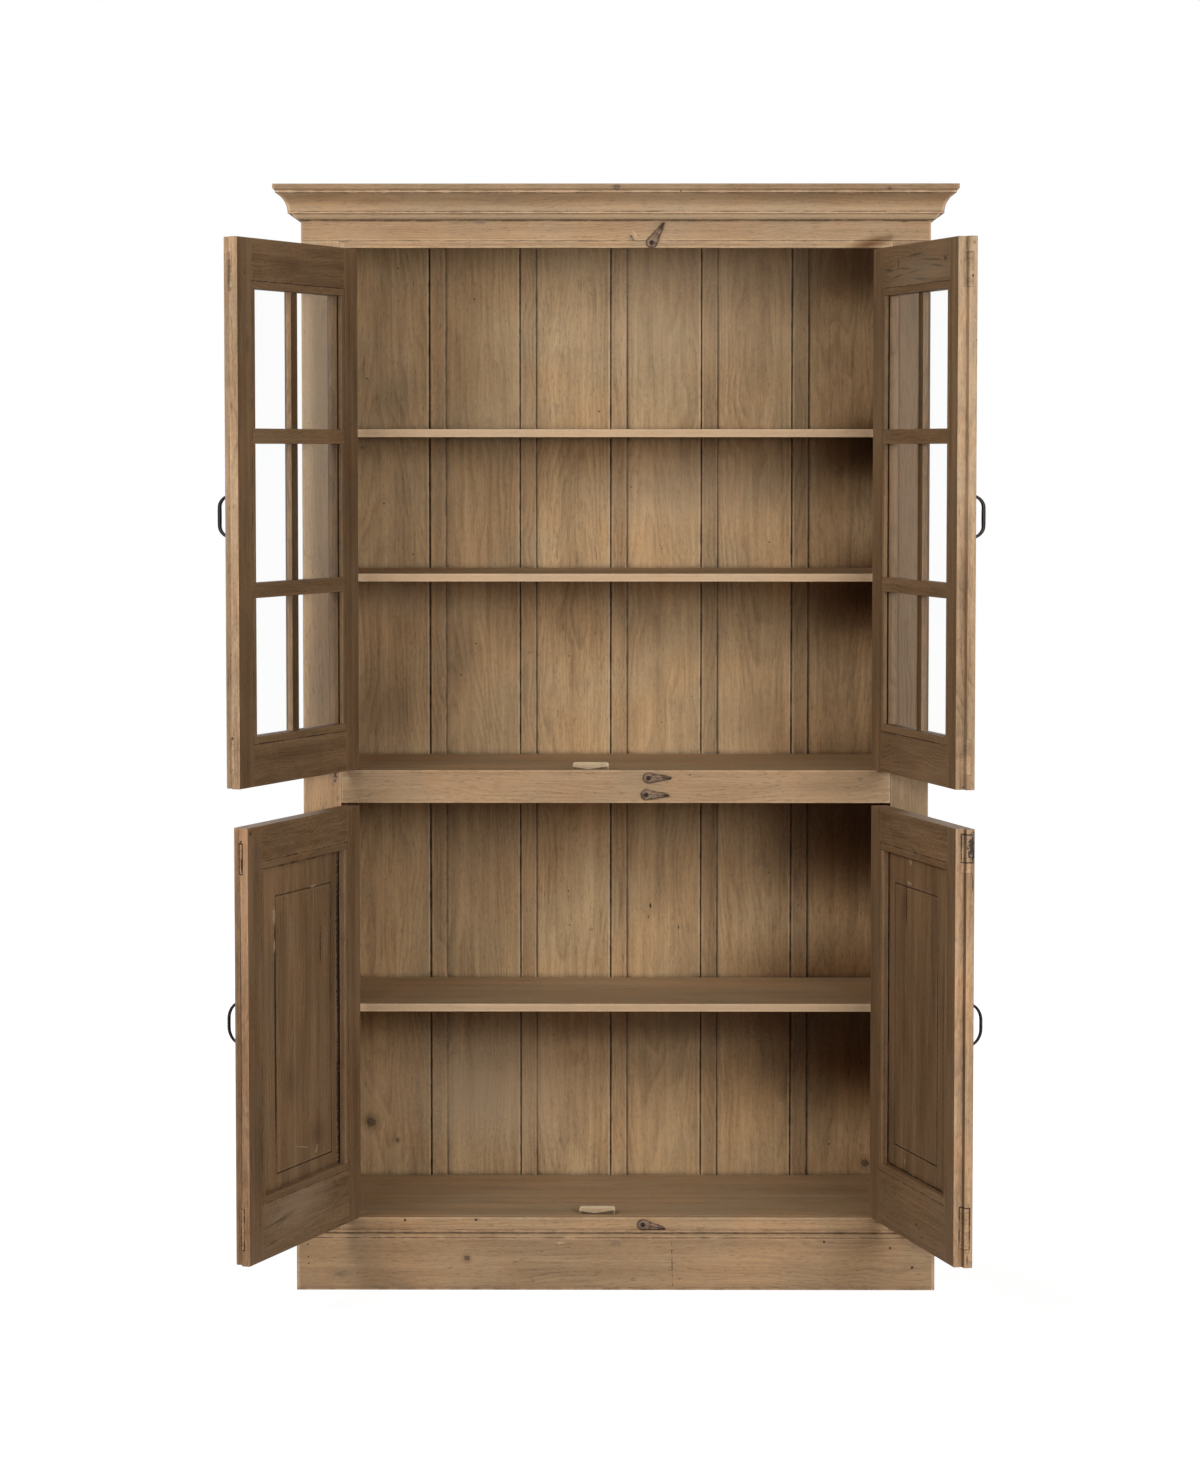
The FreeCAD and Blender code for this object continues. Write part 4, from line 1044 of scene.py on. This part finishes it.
def settle(name, body, material, solids, door=None, angle=35.0):
    """Finishes the piece in hand and gives it its body and material, in place of its solids."""
    piece = bpy.context.object
    bpy.ops.object.mode_set(mode="EDIT")
    select_all()
    bpy.ops.mesh.remove_doubles(threshold=0.00001)
    bpy.ops.mesh.normals_make_consistent(inside=False)
    bpy.ops.object.mode_set(mode="OBJECT")
    bpy.ops.object.transform_apply(location=True, rotation=True, scale=True)
    if door:
        piece.data.transform(Matrix.Translation(door_hinge(door)) @ door_turn(door).to_4x4())
    piece.name = name
    piece.data.name = name
    piece.data.materials.clear()
    piece.data.materials.append(material)
    bpy.ops.object.shade_smooth_by_angle(angle=math.radians(angle))
    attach(piece, body)
    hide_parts(*solids)
    print("piece", name, len(piece.data.polygons), "faces")


# %% [markdown]
# Each pull is a bent iron rod whose two feet go straight into the door. The smith drew the feet
# thinner than the middle. A circle at the upper foot is spun round the bend, pushed down in
# steps, and spun back to the door. The bow is then drawn out or squashed to its reach, and the
# middle is swollen in four steps. The lower pulls bow nearly all the way, like half an egg.

# %% Pulls
door_face = 0.0055
rod_radius = 0.0024
foot_length = 0.004
swelling = 0.0002
swollen_within = (0.033, 0.028, 0.022, 0.014)
pull_reach = 0.0243
pull_half_height = 0.0362
pull_heights = {"upper": 1.407, "lower": 0.5445}
pull_across = {"left": 0.45775, "right": 0.46375}
pull_bends = {"upper": 0.0205, "lower": 0.0290}
straight_steps = 5


def spin_bend(centre):
    bpy.ops.mesh.spin(steps=12, angle=math.pi / 2, center=centre, axis=(-1.0, 0.0, 0.0))


def pull(door):
    level, hand = door.split("_")
    x = -door_side(door) * pull_across[hand]
    middle = pull_heights[level]
    top = middle + pull_half_height
    bend = pull_bends[level]
    drop = 2 * (pull_half_height - bend)
    start_clean()
    bpy.ops.mesh.primitive_circle_add(vertices=16, radius=rod_radius, fill_type="NGON",
                                      location=(x, door_face + foot_length, top),
                                      rotation=FORWARD)
    edit_new()
    select_all()
    extrude(0.0, -foot_length, 0.0)
    spin_bend((x, door_face, top - bend))
    for _ in range(straight_steps):
        extrude(0.0, 0.0, -drop / straight_steps)
    spin_bend((x, door_face, top - bend - drop))
    extrude(0.0, foot_length, 0.0)
    select_all()
    bpy.ops.transform.resize(value=(1.0, pull_reach / bend, 1.0),
                             center_override=(x, door_face, middle))
    bpy.ops.mesh.normals_make_consistent(inside=False)
    for reach in swollen_within:
        pick(lambda v: abs(v.co.z - middle) < reach, "VERT")
        bpy.ops.transform.shrink_fatten(value=swelling)
    settle(door + "_bent_pull", door + "_door", pull_iron, [door + "_pull"],
           door, angle=60.0)


for door in open_angles:
    pull(door)

# %% [markdown]
# The turn buttons are teardrops cut from thin plate, held by one round-headed screw each. A
# circle becomes a teardrop when the half that faces the tip is shrunk and moved out. The plate
# is then pushed forward, and its face is inset and drawn forward twice, which leaves the broad
# filed bevel round the edge.

# %% Turn buttons
plate_back = 0.0072
plate_thickness = 0.0040
button_radius = 0.0095
tip_radius = 0.0015
button_reach = 0.040
bevel_steps = ((0.0012, 0.0009), (0.0011, 0.0002))


def turn_button(name, x, z, angle):
    angle = math.radians(angle)
    pivot = Vector((x, plate_back, z))
    toward = Vector((math.cos(angle), 0.0, math.sin(angle)))
    start_clean()
    bpy.ops.mesh.primitive_circle_add(vertices=48, radius=button_radius, fill_type="NGON",
                                      location=pivot, rotation=(math.pi / 2, -angle, 0.0))
    edit_new()
    taper = (button_radius - tip_radius) / button_reach
    pick(lambda v: (v.co - pivot).normalized().dot(toward) > taper, "VERT")
    shrink = tip_radius / button_radius
    bpy.ops.transform.resize(value=(shrink, shrink, shrink), center_override=pivot)
    bpy.ops.transform.translate(value=toward * button_reach)
    bpy.ops.mesh.select_mode(type="FACE")
    select_all()
    extrude(0.0, sum(rise for _, rise in bevel_steps) - plate_thickness, 0.0)
    for inset, rise in bevel_steps:
        bpy.ops.mesh.inset(thickness=inset)
        bpy.ops.transform.translate(value=(0.0, -rise, 0.0))
    settle(name + "_turn_button_plate", name + "_turn_button", button_iron,
           [name + "_turn_button"], angle=25.0)


for name, (x, z, angle) in turn_buttons.items():
    turn_button(name, x, z, angle)

# %% [markdown]
# Each button's screw has a low domed head with a worn slot. A short cylinder gets its rim
# rounded in four steps, two cuts run across the dome, and the strip between them is pushed in.
# The slots stop at different angles, as a hand leaves them. The shank runs on into the rail.

# %% Button screws
head_seat = 0.0029
head_height = 0.0018
head_radius = 0.0042
dome_rounding = 0.0014
shank_radius = 0.0020
shank_length = 0.021
shank_middle = 0.0095
shank_point = 0.0008
slot_half_width = 0.00045
slot_depth = 0.0009
slot_turns = {"top": 62.0, "mid_upper": 118.0, "mid_lower": 25.0, "bottom": 97.0}


def button_screw(x, z, turn):
    turn = math.radians(turn)
    middle = Vector((x, head_seat - head_height / 2, z))
    start_clean()
    bpy.ops.mesh.primitive_cylinder_add(vertices=28, radius=head_radius, depth=head_height,
                                        location=middle, rotation=FORWARD)
    head = edit_new()
    pick(lambda f: f.normal.y < -0.9)
    bpy.ops.mesh.bevel(offset=dome_rounding, segments=4, affect="EDGES", profile=0.5)
    across = Vector((-math.sin(turn), 0.0, math.cos(turn)))
    for side in (-1, 1):
        select_all()
        bpy.ops.mesh.bisect(plane_co=middle + across * side * slot_half_width, plane_no=across)
    pick(lambda f: abs((f.center - middle).dot(across)) < slot_half_width
         and f.normal.y < -0.25)
    extrude(0.0, slot_depth, 0.0)
    start_clean()
    bpy.ops.mesh.primitive_cylinder_add(vertices=16, radius=shank_radius, depth=shank_length,
                                        location=(x, head_seat + shank_middle, z),
                                        rotation=FORWARD)
    bpy.ops.object.mode_set(mode="EDIT")
    pick(lambda f: f.normal.z < -0.9)
    bpy.ops.mesh.inset(thickness=shank_point)
    bpy.ops.transform.translate(value=(0.0, shank_point, 0.0))
    bpy.ops.object.mode_set(mode="OBJECT")
    return [head, bpy.context.object]


screw_parts = []
for name, (x, z, _) in turn_buttons.items():
    screw_parts += button_screw(x, z, slot_turns[name])
join(screw_parts)
settle("slotted_button_screws", "cabinet", screw_iron, ["button_screws"])

# %% [markdown]
# Two little blocks on the floors stop the doors. They were split off a pale board and nailed
# down unfinished, so their lower front edge is chipped. Each starts as a block at its size. Its
# two upper corners are rounded and the edges of its front and back eased. Slanting cuts then
# take the chips out of the lower edge.

# %% Door stops
stop_size = Vector((0.065, 0.018, 0.015))
stop_front = 0.0388
stop_places = {"upper": (-0.045, 0.941), "lower": (-0.0335, 0.130)}
corner_radius = 0.0045
eased_by = 0.0006
chips = ((-0.019, 0.0009, 8.0), (0.004, 0.0013, -9.0), (0.020, 0.0010, 10.0))


def door_stop(x, z):
    middle = Vector((x, stop_front + stop_size.y / 2, z + stop_size.z / 2))
    start_clean()
    bpy.ops.mesh.primitive_cube_add(size=1.0, location=middle)
    bpy.ops.transform.resize(value=stop_size)
    block = edit_new()
    corners = block.data.vertices

    def upper_end(edge):
        first, second = (corners[index].co for index in edge.vertices)
        return abs(first.y - second.y) > 0.01 and first.z > middle.z

    pick(upper_end, "EDGE")
    bpy.ops.mesh.bevel(offset=corner_radius, segments=5, affect="EDGES")
    pick(lambda f: abs(f.normal.y) > 0.9)
    bpy.ops.mesh.bevel(offset=eased_by, segments=2, affect="EDGES")
    for along, deep, lean in chips:
        select_all()
        slant = Vector((math.sin(math.radians(lean)), -1.0, -1.0)).normalized()
        edge = Vector((x + along, stop_front, z))
        bpy.ops.mesh.bisect(plane_co=edge - slant * deep * 0.5, plane_no=slant, use_fill=True,
                            clear_outer=True)
    bpy.ops.object.mode_set(mode="OBJECT")
    return block


join([door_stop(x, z) for x, z in stop_places.values()])
settle("chipped_door_stops", "cabinet", stop_wood, ["door_stops"])
